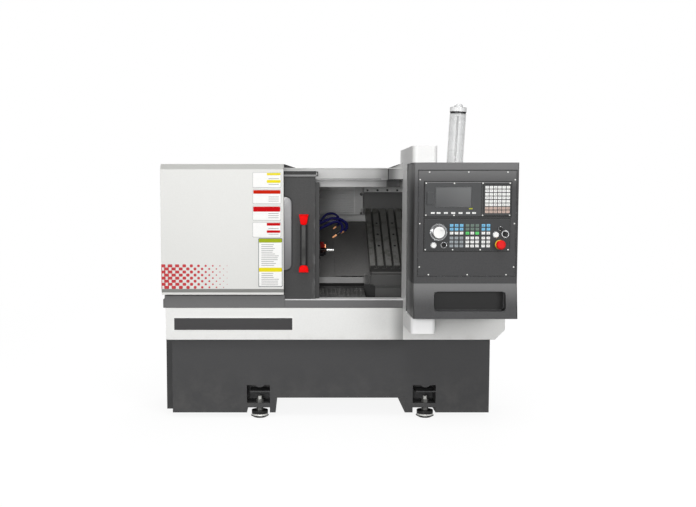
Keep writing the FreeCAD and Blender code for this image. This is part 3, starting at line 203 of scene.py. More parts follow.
class Finish:
    """One material while it is mixed, on Object coordinates, in metres."""

    def __init__(self, name):
        self.material = bpy.data.materials.new(name)
        self.material.use_nodes = True
        self.tree = self.material.node_tree
        self.tree.nodes.clear()
        self.place = self.node("ShaderNodeTexCoord").of("Object")
        split = self.node("ShaderNodeSeparateXYZ", values={0: self.place})
        self.x, self.y, self.z = split.of("X"), split.of("Y"), split.of("Z")

    def node(self, kind, settings=None, values=None):
        made = self.tree.nodes.new(kind)
        for key, value in (settings or {}).items():
            setattr(made, key, value)
        for key, value in (values or {}).items():
            if isinstance(value, Wire):
                self.tree.links.new(value.socket, made.inputs[key])
            else:
                made.inputs[key].default_value = value
        return Wire(self, made.outputs[0]) if made.outputs else None

    def noise(self, size, detail=2.0, roughness=0.5, stretch=None):
        """Cloudy 0 to 1, its blobs about size metres wide; stretch draws them out per axis."""
        place = self.place
        if stretch:
            place = self.node("ShaderNodeVectorMath", {"operation": "MULTIPLY"}, {0: place, 1: stretch})
        return self.node("ShaderNodeTexNoise", values={
            "Vector": place, "Scale": 1.0 / size, "Detail": detail, "Roughness": roughness})

    def blend(self, share, first, second):
        """first where share is 0, second where it is 1; both colours."""
        colours = [c if isinstance(c, Wire) else (*c, 1.0) for c in (first, second)]
        return self.node("ShaderNodeMix", {"data_type": "RGBA"},
                         {0: share, 6: colours[0], 7: colours[1]}).of(2)

    def outside(self, left, right, low, high):
        """How far outside this upright rectangle, in metres; below 0 inside it."""
        sideways = abs(self.x - (left + right) / 2) - (right - left) / 2
        return sideways.greater(abs(self.z - (low + high) / 2) - (high - low) / 2)

    def edges(self, radius):
        """1 on outside and inside corners, 0 on flat faces, and the rounded normal."""
        soft = self.node("ShaderNodeBevel", {"samples": 4}, {"Radius": radius})
        true = self.node("ShaderNodeNewGeometry").of("True Normal")
        match = self.node("ShaderNodeVectorMath", {"operation": "DOT_PRODUCT"}, {0: soft, 1: true})
        return (1.0 - match.of("Value")).steps(0.03, 0.22), soft

    def bump(self, height, distance, strength=1.0, normal=None):
        values = {"Height": height, "Distance": distance, "Strength": strength}
        if normal:
            values["Normal"] = normal
        return self.node("ShaderNodeBump", values=values)

    def shade(self, colour, roughness, **more):
        """The shader itself. Names in more are its sockets, with _ for a space."""
        values = {key.replace("_", " "): value for key, value in more.items()}
        values.update({"Base Color": colour, "Roughness": roughness})
        shader = self.node("ShaderNodeBsdfPrincipled", values=values)
        self.node("ShaderNodeOutputMaterial", values={"Surface": shader})
        return self.material


def keep_piece(name, shape, body, slot, *finishes, smooth=False):
    """A finished bmesh becomes a piece that rides on a body."""
    bmesh.ops.remove_doubles(shape, verts=shape.verts, dist=1e-6)
    bmesh.ops.recalc_face_normals(shape, faces=shape.faces)
    mesh = bpy.data.meshes.new(name)
    shape.to_mesh(mesh)
    shape.free()
    piece = bpy.data.objects.new(name, mesh)
    scene.collection.objects.link(piece)
    for finish in finishes:
        mesh.materials.append(finish)
    if smooth:
        mesh.shade_smooth()
        mesh.set_sharp_from_angle(angle=math.radians(35))
    if body:
        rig.ride(piece, body)
        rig.slot(piece, slot)
    return piece


def grey(share):
    """An even grey by the share of light it gives back."""
    return share, share, share


floor_shape = bmesh.new()
bmesh.ops.create_grid(floor_shape, x_segments=2, y_segments=2, size=40.0)
mix = Finish("studio_floor")
ray = mix.node("ShaderNodeLightPath")
seen = ray + ray.of("Is Transmission Ray") + ray.of("Is Glossy Ray") * 0.4
far_out = (mix.x * mix.x + mix.y * mix.y).steps(5.0, 30.0)
floor_paint = mix.blend(far_out, grey(0.13), grey(0.0))
matt = mix.node("ShaderNodeBsdfDiffuse", values={"Color": floor_paint})
glow = mix.node("ShaderNodeEmission", values={"Strength": seen * (0.90 + far_out * 0.10)})
both = mix.node("ShaderNodeAddShader", values={0: matt, 1: glow})
mix.node("ShaderNodeOutputMaterial", values={"Surface": both})
floor = keep_piece("studio_floor", floor_shape, None, None, mix.material)
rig.stage(floor)

world = bpy.data.worlds.new("studio_surround")
world.use_nodes = True
scene.world = world
surround = world.node_tree
light_path = surround.nodes.new("ShaderNodeLightPath")
level = surround.nodes.new("ShaderNodeMapRange")
level.inputs["To Min"].default_value = 0.36
level.inputs["To Max"].default_value = 1.0
surround.links.new(light_path.outputs["Is Camera Ray"], level.inputs["Value"])
backdrop = surround.nodes["Background"].inputs
backdrop["Color"].default_value = (1.0, 1.0, 1.0, 1.0)
surround.links.new(level.outputs[0], backdrop["Strength"])

for name, place, aim, size, power in (
        ("key_box", (3.0, -5.4, 1.7), (0.0, 0.0, 0.8), 3.0, 105.0),
        ("fill_box", (-3.9, -4.7, 1.4), (0.0, 0.0, 0.8), 3.0, 80.0),
        ("front_box", (-1.1, -8.0, 1.35), (0.1, 0.0, 0.9), 1.6, 135.0),
        ("top_box", (0.2, -2.8, 4.6), (0.0, 0.0, 0.8), 2.6, 80.0),
        ("back_box", (0.6, 5.2, 3.6), (0.0, 0.0, 0.8), 3.0, 150.0)):
    lamp = bpy.data.lights.new(name, "AREA")
    lamp.shape, lamp.size, lamp.energy = "DISK", size, power
    box = bpy.data.objects.new(name, lamp)
    scene.collection.objects.link(box)
    box.location = place
    box.rotation_euler = (Vector(aim) - Vector(place)).to_track_quat("-Z", "Y").to_euler()


# Levelling feet: black rubber soles and bells with a pale steel skirt between them, under zinc-plated bolts and nuts
# whose tops are painted bright, a painted highlight; each stands in a pocket of the base.
def tone(*card):
    """A paint card's 0-255 colour, or one grey, as the linear numbers a shader takes."""
    return tuple(((c / 255 + 0.055) / 1.055) ** 2.4 if c > 10 else c / 255 / 12.92
                 for c in (card if len(card) == 3 else card * 3))


def tinted(colour, share, lift=0.0, most=1.0):
    """That share of a colour, raised by lift and kept under most."""
    return tuple(min(most, c * share + lift) for c in colour)


def coat(material, *names):
    """Gives these CAD nodes that finish, in every material slot they have."""
    for name in names:
        for slot in nodes[name].material_slots:
            slot.material = material


def machined(name, colour, rough, streaks=None, grime=0.35, wear=0.5, pattern=None):
    """Bare or blackened steel: fine turning marks, oily patches, bright corners."""
    mix = Finish(name)
    corners, soft = mix.edges(0.0012)
    grime_map = mix.noise(0.05, 4.0, 0.6).steps(0.42, 0.68)
    base = mix.blend(grime_map, colour, tinted(colour, 1.0 - grime))
    chips = corners * mix.noise(0.012, 3.0, 0.7).steps(0.35, 0.6) * wear
    marks = mix.noise(0.0011, stretch=streaks)
    if pattern:
        base = pattern(mix, base)
    bright = tinted(colour, 1.7, 0.12, 0.8)
    return mix.shade(mix.blend(chips, base, bright), grime_map * 0.16 + rough + marks * 0.10,
                     Metallic=0.9, Normal=mix.bump(marks, 0.00012, 0.6, soft))


blackened = machined("blackened_steel", tone(92, 92, 94), 0.34)
coat(blackened, "spindle_motor")
pads = Finish("levelling_pads")
skirt = pads.z.between(0.0125, 0.0195)
bolt_foot, nut_foot = 0.0365, 0.0905
# Bolts and nuts stay mostly dark; only above nut_foot is the bolt painted bright, a painted highlight.
steel_and_highlight = pads.z.steps(bolt_foot, bolt_foot + 0.0005) * 0.22 + (pads.z > nut_foot) * 0.78
rust = pads.noise(0.012, 4.0, 0.65).steps(0.50, 0.75)
rubber_foot = pads.blend(rust, grey(0.012), (0.035, 0.033, 0.030))
bolted = pads.blend(rust, tone(196, 196, 192), tone(150, 146, 138))
coat(pads.shade(pads.blend(skirt, pads.blend(steel_and_highlight, rubber_foot, bolted), tone(232, 232, 228)),
                rust * 0.2 + 0.32, Metallic=0.2,
                Normal=pads.bump(pads.noise(0.0015, 3.0), 0.0001, 0.5, pads.edges(0.0015)[1])),
     "levelling_feet")


# Base: two folded sheet-steel legs and a belly plate, welded, then powder coated in
# dark graphite with a fine hammered grain; scuffed along the corners and near the floor.
def painted(name, colour, rough=0.45, grain=0.0022, depth=0.00018, mottle=0.06, wear=0.5,
            dust=0.0, pattern=None, undercoat=(0.30, 0.30, 0.31), rub=0.0, rim=0.0022):
    """Powder coat on sheet steel: hammered grain, faint mottling, chipped corners, floor dust, and where asked an even
    pale line on every corner, a painted highlight.
    """
    mix = Finish(name)
    corners, soft = mix.edges(rim)
    cloud = mix.noise(0.35, 3.0, 0.55)
    peel = mix.noise(grain, 2.0, 0.55)
    flecks = mix.noise(0.008, 2.0, 0.6).steps(0.3, 0.7)
    base = mix.blend(cloud.steps(0.3, 0.7) * 0.4 + flecks * 0.6,
                         tinted(colour, 1.0 - mottle), tinted(colour, 1.0 + mottle))
    if pattern:
        base = pattern(mix, base)
    # The noise share is chipped wear; the even share on corners is a painted highlight.
    chips = corners * (mix.noise(0.018, 4.0, 0.7).steps(0.50, 0.66) * wear + rub)
    base = mix.blend(chips, base, undercoat)
    if dust:
        settled = (1.0 - mix.z.steps(0.02, 0.34)) * mix.noise(0.09, 4.0, 0.65).steps(0.35, 0.75) * dust
        base = mix.blend(settled, base, (0.36, 0.34, 0.31))
    return mix.shade(base, cloud * 0.10 + (rough - 0.05) + chips * 0.25,
                     Normal=mix.bump(peel, depth, 0.7, soft), Specular_IOR_Level=0.35)


coat(painted("graphite_powder_coat", tone(63, 63, 64), mottle=0.04, dust=0.07),
     "base_cabinet", "cabinet_door")


# Coolant tank: a folded steel tray on castors with a pump on its lid, in grey enamel,
# with tide marks where coolant has run down its walls.
def coolant_runs(mix, base):
    run = mix.noise(0.02, 3.0, 0.6, (1.0, 1.0, 0.08)).steps(0.52, 0.72)
    return mix.blend(run * (1.0 - mix.z.steps(0.05, 0.3)) * 0.45, base, (0.13, 0.125, 0.11))


coat(painted("tank_enamel", tone(132, 134, 136), 0.40, dust=0.25, pattern=coolant_runs), "coolant_tank")


# Cabinet latch: a chromed quarter-turn handle, polished, with fine hairlines.
chrome = Finish("bright_chrome")
hairline = chrome.noise(0.0009, 3.0, 0.6, (1.0, 1.0, 0.1))
smear = chrome.noise(0.03, 3.0, 0.6).steps(0.4, 0.7)
chrome.shade(chrome.blend(smear, (0.72, 0.73, 0.74), (0.58, 0.59, 0.60)),
             smear * 0.14 + 0.10, Metallic=1.0,
             Normal=chrome.bump(hairline, 0.00004, 0.4, chrome.edges(0.001)[1]))
coat(chrome.material, "cabinet_latch")


# Lower body: the white belt round the machine, folded sheet, powder coated in a warm white that is smoother than the
# base; a little soiled along its lower fold, and painted darker beside the post's left side, a painted shadow.
smooth_grain = 0.0030, 0.00008


def belt_soil_and_shade(mix, base):
    post_left, belt_foot = 0.342, 0.400
    low = (1.0 - mix.z.steps(belt_foot, belt_foot + 0.040)) * mix.noise(0.06, 4.0, 0.6).steps(0.40, 0.75)
    # Painted shadow: the belt darkens towards the post's left side.
    shade_by_post = mix.x.steps(post_left - 0.080, post_left) * (mix.x < post_left + 0.0005) * (mix.y < -0.2)
    return mix.blend(low * 0.25, mix.blend(shade_by_post * 0.6, base, grey(0.06)), (0.48, 0.46, 0.42))


coat(painted("belt_white", tone(234, 234, 232), 0.34, *smooth_grain, 0.02, 0.30, pattern=belt_soil_and_shade,
             undercoat=grey(0.42)), "lower_body")


# Name plate: left blank. A thin anodised plate, charcoal, with a pale line printed
# along its edge, bonded to the belt.
plate_low, plate_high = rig.box("nameplate")
plate = Finish("blank_plate")
inset = 0.0028
from_line = plate.outside(plate_low.x + inset, plate_high.x - inset,
                          plate_low.z + inset, plate_high.z - inset)
brushing = plate.noise(0.0016, 3.0, 0.6, (0.04, 1.0, 1.0))
anodised = plate.blend(brushing, tone(40, 39, 40), tone(52, 51, 52))
coat(plate.shade(plate.blend(from_line > 0.0, anodised, tone(236, 236, 234)),
                 brushing * 0.16 + 0.30, Metallic=0.25, Normal=plate.bump(brushing, 0.00003)), "nameplate")


# Left cover: the big fixed front panel, a sheet folded back at its head and foot, warm white, its folds painted darker
# as painted shade, and a halftone of red dots printed low on its left side.
cover_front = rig.box("left_cover")[0].y


def red_dots_and_fold_shade(mix, base):
    """Eight staggered rows of dots that shrink from the left edge to nothing; the head and foot folds are painted
    darker, a painted shade.
    """
    row_pitch, dot_pitch = 0.0151, 0.0349
    top_row, left_edge, right_edge = 0.768, -0.838, -0.514
    row = (top_row - mix.z) / row_pitch
    whole = round(row)
    shift = whole.math("MODULO", whole, 2.0) * 0.5
    column = (mix.x - left_edge) / dot_pitch + shift
    across = (column - round(column)) * dot_pitch
    down = (row - whole) * row_pitch
    squareness = 2.8
    far = (abs(across) ** squareness + abs(down) ** squareness) ** (1 / squareness)
    centre = (round(column) - shift) * dot_pitch + left_edge
    reach = (centre - left_edge) / (right_edge - left_edge)
    first_radius, last_radius = 0.0126, 0.0012
    radius = first_radius - reach * (first_radius - last_radius)
    inside = (radius - far).steps(-0.0003, 0.0003)
    band = whole.between(-0.5, 7.5) * (mix.x < right_edge + 0.006)
    front = mix.y < cover_front + 0.0015
    dotted = mix.blend(inside * band * front, base, tone(186, 18, 32))
    # The folds at head and foot are painted darker: painted shade.
    foot_fold_shade = mix.z.steps(0.6345, 0.6375) * (mix.z < 0.6545)
    head_fold_shade = mix.z.steps(1.236, 1.240)
    return mix.blend(foot_fold_shade * 0.75 + head_fold_shade * 0.42, dotted, tone(120, 121, 117))


coat(painted("cover_white", tone(219, 219, 216), 0.34, *smooth_grain, 0.015, 0.25, pattern=red_dots_and_fold_shade,
             undercoat=grey(0.45)), "left_cover")


# Notices: where the machine has its notices there are blank vinyl stickers, with plain
# fields of colour and plain grey bars, and nothing to read.
def enamel(name, colour, rough=0.32, speck=0.05, gloss=0.25):
    """Ink or moulded plastic in one hue: faintly uneven, with a soft print grain."""
    mix = Finish(name)
    cloud = mix.noise(0.012, 3.0, 0.6)
    return mix.shade(mix.blend(cloud, tinted(colour, 1.0 - speck), tinted(colour, 1.0 + speck)),
                     cloud * 0.12 + (rough - 0.06), Specular_IOR_Level=gloss,
                     Normal=mix.bump(mix.noise(0.0007), 0.00002, 0.5, mix.edges(0.0006)[1]))


def enamels(group, rough, gloss=0.25, **cards):
    """One finish for each colour of a group, by the colour's name."""
    return {name: enamel(group + name, tone(*card), rough, gloss=gloss) for name, card in cards.items()}


inks = enamels("ink_", 0.5, 0.06, white=(246, 246, 244), yellow=(234, 220, 30), red=(198, 4, 14),
               orange=(196, 30, 4), olive=(160, 176, 34), grey=(138, 138, 138), line=(60, 66, 74))


def block(shape, size, middle):
    """A box joins the shape; its corners are handed back."""
    corners = bmesh.ops.create_cube(shape, size=1.0)["verts"]
    bmesh.ops.scale(shape, vec=size, verts=corners)
    bmesh.ops.translate(shape, vec=middle, verts=corners)
    return corners


def edges_of(corners):
    return list({e for v in corners for e in v.link_edges})


def rise(edge):
    """How much further back one end of an edge lies than the other."""
    return abs(edge.verts[0].co.y - edge.verts[1].co.y)


def round_off(shape, edges, offset, segments=2, affect="EDGES"):
    """Rounds those edges of a shape, or its corners."""
    bmesh.ops.bevel(shape, geom=edges, offset=offset, segments=segments,
                    profile=0.5, affect=affect, material=-1)


def dye(shape, before, number):
    """The faces that have joined the shape since before get that one of its finishes."""
    for face in set(shape.faces) - before:
        face.material_index = number


def sticker(shape, left, right, low, high, ink, layer):
    """One field of a sticker: a thin slip with its corners cut round."""
    before, thick = set(shape.faces), 0.0003
    slip = block(shape, (right - left, thick, high - low),
                 ((left + right) / 2, cover_front - (layer + 0.5) * thick, (low + high) / 2))
    corners = [e for e in edges_of(slip) if rise(e) > 1e-5]
    round_off(shape, corners, min(0.004, (high - low) * 0.2), 3)
    dye(shape, before, list(inks).index(ink))


notices = bmesh.new()
notice_rows = (
    (-0.397, -0.259, 1.149, 1.223, (("yellow", 0.50, 1.0, 0.84, 1.0), ("yellow", 0.50, 1.0, 0.30, 0.50))),
    (-0.397, -0.259, 1.071, 1.140, (("orange", 0.0, 1.0, 0.72, 1.0),)),
    (-0.398, -0.260, 0.990, 1.060, (("red", 0.0, 1.0, 0.62, 1.0),)),
    (-0.398, -0.260, 0.908, 0.981, (("red", 0.50, 1.0, 0.80, 1.0), ("red", 0.50, 1.0, 0.28, 0.46))))
border, margin, bar_high = 0.0012, 0.003, 0.0022
for left, right, low, high, fields in notice_rows:
    sticker(notices, left, right, low, high, "grey", 0)
    sticker(notices, left + border, right - border, low + border, high - border, "white", 1)
    across, up = left + margin, low + margin
    wide, tall = right - left - 2 * margin, high - low - 2 * margin
    for ink, x0, x1, z0, z1 in fields:
        sticker(notices, across + wide * x0, across + wide * x1, up + tall * z0, up + tall * z1, ink, 2)
    for step in (0.16, 0.58) if len(fields) == 2 else (0.14, 0.30, 0.46):
        sticker(notices, across + wide * 0.56, across + wide * 0.94,
                up + tall * step, up + tall * step + bar_high, "grey", 2)
sheet_left, sheet_right, sheet_low, sheet_high = -0.3675, -0.2555, 0.6675, 0.9005
sticker(notices, -0.370, -0.253, 0.665, 0.903, "line", 0)
for low, high, ink, layer in ((sheet_low, sheet_high, "white", 1), (0.882, sheet_high, "olive", 2),
                              (0.739, 0.759, "yellow", 2)):
    sticker(notices, sheet_left, sheet_right, low, high, ink, layer)
drawn = random.Random(4)
bar_left, bar_pitch = -0.356, 0.0092
for top, rows in ((0.872, 12), (0.730, 7)):
    for k in range(rows):
        z, bar_right = top - bar_pitch * k, bar_left + 0.088 * drawn.uniform(0.6, 1.0)
        sticker(notices, bar_left, bar_right, z - 0.0012, z + 0.0012, "grey", 2)
keep_piece("notice_blanks", notices, "frame", "bare_plate", *inks.values())


# Sill and door track: a folded trough along the front in mid grey enamel, its upper
# lip rubbed bright by the door; the band under the left cover is the same sheet.
def rubbed_lip(mix, base):
    scuffs = mix.noise(0.04, 3.0, 0.6, (0.3, 1.0, 1.0)).steps(0.0, 0.4)
    lip = mix.z.steps(0.5950, 0.5970) * (mix.x > -0.242) * scuffs
    return mix.blend(lip * 0.95, base, tone(232))


coat(painted("sill_grey", tone(100), 0.38, 0.0026, 0.0001, 0.05, 0.5, pattern=rubbed_lip,
             undercoat=grey(0.5)), "sill_track")


# Header beam: folded sheet in light grey over the opening; its lip is painted paler as painted light, the beam is
# painted darker towards the right and along its foot as painted shade, and a dark joint sets off its end plate.
def header_shade_and_joint(mix, base):
    """Painted shade along the beam's foot and towards its right end, a painted paler lip with a painted shadow line
    along it, an end plate with a dark joint and a painted shade gradient, and a near-black line along the right
    gusset's top edge.
    """
    end_x, lip_z, dark_grey = 0.272, 1.1915, tone(84)
    left_part = mix.x < end_x
    lip = mix.z < lip_z
    # Painted light: the lip left of the end plate is paler.
    paler = mix.blend(lip * left_part * 0.40, base, grey(0.86))
    # Painted shade: darker along the foot and towards the right end.
    low_shade = (1.0 - mix.z.steps(1.198, 1.226)) * 0.08
    grime = mix.x.steps(0.03, 0.19) * 0.18 + mix.x.steps(0.19, 0.270) * 0.55 + low_shade
    shaded = mix.blend(grime * left_part, paler, dark_grey)
    # The end plate is darker by the joint and paler to the right, a painted shade gradient.
    end_plate = mix.blend((mix.x > end_x) * (0.92 - mix.x.steps(0.280, 0.345) * 0.80), shaded, dark_grey)
    # A painted shadow line along the lip, then the dark joint at the end plate.
    line = mix.z.between(lip_z - 0.0030, lip_z + 0.0030) * (mix.x < 0.236) * 0.72
    joint = (lip * (mix.x > 0.266)).greater(mix.x.between(end_x - 0.0025, end_x + 0.0030))
    gap = line.greater(joint * 0.93)
    # A near-black line along the right gusset's top edge.
    gusset_foot, gusset_slope = 1.2468, 0.357
    top_edge = mix.z - gusset_foot - (mix.x - end_x) * gusset_slope
    gap = gap.greater((top_edge > -0.0040) * mix.x.between(0.287, 0.326) * 0.95)
    return mix.blend(gap, end_plate, grey(0.010))


header_grey = painted("header_grey", tone(194, 194, 193), 0.36, *smooth_grain, 0.03, 0.35,
                      pattern=header_shade_and_joint, undercoat=grey(0.40))
coat(header_grey, "header_beam")


# Roof gussets: two small folded triangles that stiffen the roof's front edge, one at each end of the header beam, the
# left one painted black as painted shade and the right one in its paint.
def thicken(shape, faces, depth):
    """A flat shape is drawn out backwards to that depth."""
    grown = bmesh.ops.extrude_face_region(shape, geom=faces)["geom"]
    back = [v for v in grown if isinstance(v, bmesh.types.BMVert)]
    bmesh.ops.translate(shape, vec=(0.0, depth, 0.0), verts=back)
    bmesh.ops.recalc_face_normals(shape, faces=shape.faces)


# Painted shade: the left gusset is black.
gusset_shade_black = painted("gusset_shade_black", tone(22), 0.40, 0.0020, 0.00006, 0.05, 0.3)
gusset_front, gusset_low = -0.1195, 1.246
for name, edge_x, flat_x, edge_z, slot, finish in (
        ("roof_gusset_left", -0.2465, -0.189, 1.2665, "dark_paint", gusset_shade_black),
        ("roof_gusset_right", 0.3415, 0.272, 1.2715, "light_grey", header_grey)):
    gusset = bmesh.new()
    corners = [gusset.verts.new((x, gusset_front, z)) for x, z in (
        (edge_x, gusset_low), (flat_x, gusset_low), (flat_x, gusset_low + 0.0015), (edge_x, edge_z))]
    thicken(gusset, [gusset.faces.new(corners)], 0.004)
    round_off(gusset, gusset.edges[:], 0.0004)
    keep_piece(name, gusset, "frame", slot, finish)


# Roof, sides, back and post: folded sheet in the same white; the post that carries the console has a painted shade
# line in its corner by the console and a foot painted brighter, a painted light.
coat(painted("shell_white", tone(230, 230, 228), 0.36, *smooth_grain, 0.02, 0.30, undercoat=grey(0.42)),
     "enclosure_shell")


def post_shade_and_light(mix, base):
    """A near-black painted shade line in the corner between post and console, and the post's foot painted brighter, a
    painted light.
    """
    shade_y, half_shade = -0.327, 0.0015
    # Painted shade: near-black in the corner by the console.
    seal = (abs(mix.y - shade_y) < half_shade) * (mix.x < 0.3485) * mix.z.between(0.556, 1.2595)
    # Painted light: the foot is brighter.
    foot = mix.blend((mix.z < 0.5535) * (mix.x > 0.3435) * 0.9, base, grey(0.95))
    return mix.blend(seal * 0.9, foot, grey(0.03))


coat(painted("post_white", tone(234, 234, 233), 0.32, 0.0030, 0.00006, 0.02, 0.25, undercoat=grey(0.42),
             pattern=post_shade_and_light), "control_post")


# Bed, headstock and saddle: grey iron castings, sand-cast skin under a thin dark
# primer, milled where guideways and covers bolt on.
def cast_iron(name, colour):
    """Sand-cast iron: pitted skin, oil-dark hollows, paler corners; the bed's front face under the ledge is painted
    near-black, a painted shadow.
    """
    mix = Finish(name)
    corners, soft = mix.edges(0.003)
    sand = mix.noise(0.0018, 4.0, 0.7)
    oil = mix.noise(0.07, 4.0, 0.6).steps(0.40, 0.70)
    skin = mix.blend(oil, colour, tinted(colour, 0.62))
    base = mix.blend(corners * sand.steps(0.4, 0.6) * 0.6, skin, tinted(colour, 1.7, 0.02))
    # Painted shadow: the bed's front face under the ledge is near-black.
    shadowed_front, foot = abs(mix.y - 0.060) < 0.0005, 1.0 - mix.z.steps(0.648, 0.658)
    base = mix.blend(shadowed_front * foot * mix.x.between(-0.3, 0.225) * 0.9, base, grey(0.006))
    return mix.shade(base, 0.55 - oil * 0.20, Metallic=0.35,
                     Normal=mix.bump(sand, 0.00035, 0.8, soft))


coat(cast_iron("grey_casting", tone(98, 98, 97)), "bed_casting", "headstock", "saddle")


# Spindle, bearings and guideways: hardened steel, ground all over, with a thin film
# of oil; the screws and the bar in the chuck are the same steel.
coat(machined("ground_steel", tone(178, 178, 176), 0.22, (0.2, 1.0, 1.0), grime=0.22, wear=0.3),
     "spindle", "spindle_bearings", "z_guideway", "z_screw", "x_screw")


def in_shadow(mix, base):
    """The bar is painted black where the chuck holds it, a painted shadow."""
    return mix.blend(mix.x < -0.031, base, tone(30, 30, 31))


coat(machined("bright_bar", tone(222, 222, 220), 0.18, (1.0, 0.1, 0.1), 0.10, 0.2, in_shadow), "bar_blank")


# Chuck: a blackened steel body with three stepped jaws; one jaw is coated dark red and
# has a bare copper tip, as soft jaws for finished work have.
coat(machined("chuck_black", tone(34, 34, 36), 0.24, (0.3, 1.0, 1.0), grime=0.3, wear=0.8),
     "chuck_body", "chuck_jaw_2", "chuck_jaw_3")


def copper_tip(mix, base):
    """The jaw's front step is bare copper."""
    return mix.blend(mix.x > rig.box("chuck_jaw_1")[1].x - 0.0045, base, tone(250, 168, 118))


coat(machined("copper_face", tone(92, 10, 8), 0.34, grime=0.3, pattern=copper_tip), "chuck_jaw_1")


# Cross slide: the slanted tool table, milled steel with five T-slots; feed marks run along the slots, and coolant has
# dried in the corners. Slots, lower end face and rings round the bolt holes are painted darker as painted shade,
# partly stain at the holes, and the edges are painted pale, a painted highlight.
def distance(across, up):
    """How far a point is, seen from the front of a face."""
    return (across * across + up * up) ** 0.5


table = Finish("tool_table")
corners, soft = table.edges(0.0014)
feed = table.noise(0.0013, stretch=(1.0, 0.06, 0.06))
dried = table.noise(0.06, 4.0, 0.65).steps(0.44, 0.72)
milled = table.blend(dried, tone(138, 138, 135), tone(104, 103, 99))
slant = math.radians(35.0)
in_depth, in_height = table.y - 0.020, table.z - 0.754
up_slope = in_depth * math.cos(slant) + in_height * math.sin(slant)
off_slope = in_height * math.cos(slant) - in_depth * math.sin(slant)
hole_middle, hole_reach, first_hole, hole_pitch = 0.292, 0.042, 0.160, 0.099
across_holes = abs(table.x - hole_middle) - hole_reach
row = (up_slope - first_hole) / hole_pitch
along_holes = (row - round(row)) * hole_pitch
from_hole = distance(across_holes, along_holes)
# Rings round the bolt holes: stain, and painted shade in place of a countersink.
bolt_stain_and_shade = (1.0 - from_hole.steps(0.0055, 0.0085)) * up_slope.between(0.1, 0.4) * (off_slope > -0.03)
# Painted shade: the lower end face is darker and the slots near-black.
shaded_end_face = (up_slope < 0.003) * (off_slope < -0.008)
slot_shade = (off_slope < -0.0035) * (up_slope > 0.003)
milled = table.blend(bolt_stain_and_shade * 0.85, milled, tone(30))
milled = table.blend(shaded_end_face * 0.9, milled, tone(74, 74, 73))
milled = table.blend(slot_shade * 0.62, milled, grey(0.008))
# Painted highlight: pale edges all round.
edge_highlights = corners * 0.7 * (1.0 - bolt_stain_and_shade) * (off_slope > -0.030)
coat(table.shade(table.blend(edge_highlights, milled, tone(196, 196, 192)), dried * 0.18 + 0.32 + feed * 0.08,
                 Metallic=0.35, Normal=table.bump(feed, 0.0001, 0.6, soft)), "cross_slide")


# Chamber lining: bulkheads, fixed covers and the two-leaf way covers, dark grey sheet
# with an oily sheen; the louvre plate behind the chuck is pale grey.
coat(painted("chamber_lining", tone(92, 91, 90), 0.36, 0.003, 0.00012, 0.10, 0.5), "chamber_bulkheads")


def swarf_light_and_shade(mix, base):
    """Fine chips caught on the tray and the ledge: bright specks on the level faces. The tray is painted dark as
    painted shadow, the ledge plate paler as painted light, the covers in front darker, and under the ledge and beside
    the guard near-black painted shadow.
    """
    facing = mix.node("ShaderNodeNewGeometry").of("True Normal")
    level_face = mix.node("ShaderNodeSeparateXYZ", values={0: facing}).of("Z")
    chips = mix.noise(0.0065, 2.0, 0.8).steps(0.56, 0.66)
    heaps = mix.noise(0.05, 3.0, 0.6).steps(0.35, 0.60)
    tray = level_face.steps(0.5, 0.8) * (mix.z < 0.640)
    shadow = mix.blend(tray * 0.75, base, grey(0.020))
    ledge_plate_light = mix.y.between(0.0415, 0.0465) * mix.z.between(0.657, 0.6895)
    lit = mix.blend(ledge_plate_light * 0.25, shadow, tone(196))
    front = (mix.y < 0.040) * (mix.x > 0.17)
    lit = mix.blend(front * 0.85, lit, tone(66, 66, 65))
    # Painted shadow: near-black under the ledge and beside the guard.
    shade_under_ledge = mix.z.between(0.6290, 0.6565) * (mix.x < 0.195)
    shade_beside_guard = mix.x.between(0.17, 0.214) * (mix.z < 0.652)
    lit = mix.blend(shade_under_ledge.greater(shade_beside_guard) * 0.85, lit, grey(0.004))
    return mix.blend(chips * heaps * tray * 0.9, lit, (0.60, 0.60, 0.58))


coat(painted("way_cover_steel", tone(110, 109, 108), 0.30, 0.004, 0.00008, 0.12, 0.6, pattern=swarf_light_and_shade),
     "chamber_covers", "saddle_covers")


def dark_panel(mix, base):
    """Right of the louvres are two screws and a dark cover; the cross bar has a row of holes painted black, a painted
    shade, and the plain plate beside and below the slots is painted darker, a painted shade.
    """
    cover_left = 0.1885
    cover = (mix.x > cover_left) * (mix.z < 1.128)
    # Painted shade: the plain plate beside and below the slots.
    plain = (mix.x > 0.141).greater(mix.z < 1.008) * (mix.x < cover_left)
    base = mix.blend(plain * 0.35, base, tone(90))
    first_hole, hole_pitch = 0.2105, 0.055
    step = (mix.x - first_hole) / hole_pitch
    # The holes are painted black: painted shade.
    hole = distance((step - round(step)) * hole_pitch, mix.z - 1.138) < 0.0062
    base = mix.blend(hole * (mix.x > 0.192) * 0.95, base, grey(0.006))
    for screw_z in (1.0100, 1.1165):
        head = distance(mix.x - 0.176, mix.z - screw_z) < 0.0078
        base = mix.blend(head * 0.97, base, grey(0.006))
    return mix.blend(cover * 0.93, base, tone(58, 58, 57))


coat(painted("louvre_plate", tone(226, 226, 225), 0.40, 0.003, 0.0001, 0.05, 0.4, pattern=dark_panel),
     "rear_shroud")


# Coolant hoses: jointed plastic segments that click together and hold their shape,
# dark blue, each a ball in the next one's socket, with turned copper nozzles.
hose_blue = enamel("hose_blue", tone(10, 10, 66), 0.42, 0.15, gloss=0.08)
manifold_x = -0.134
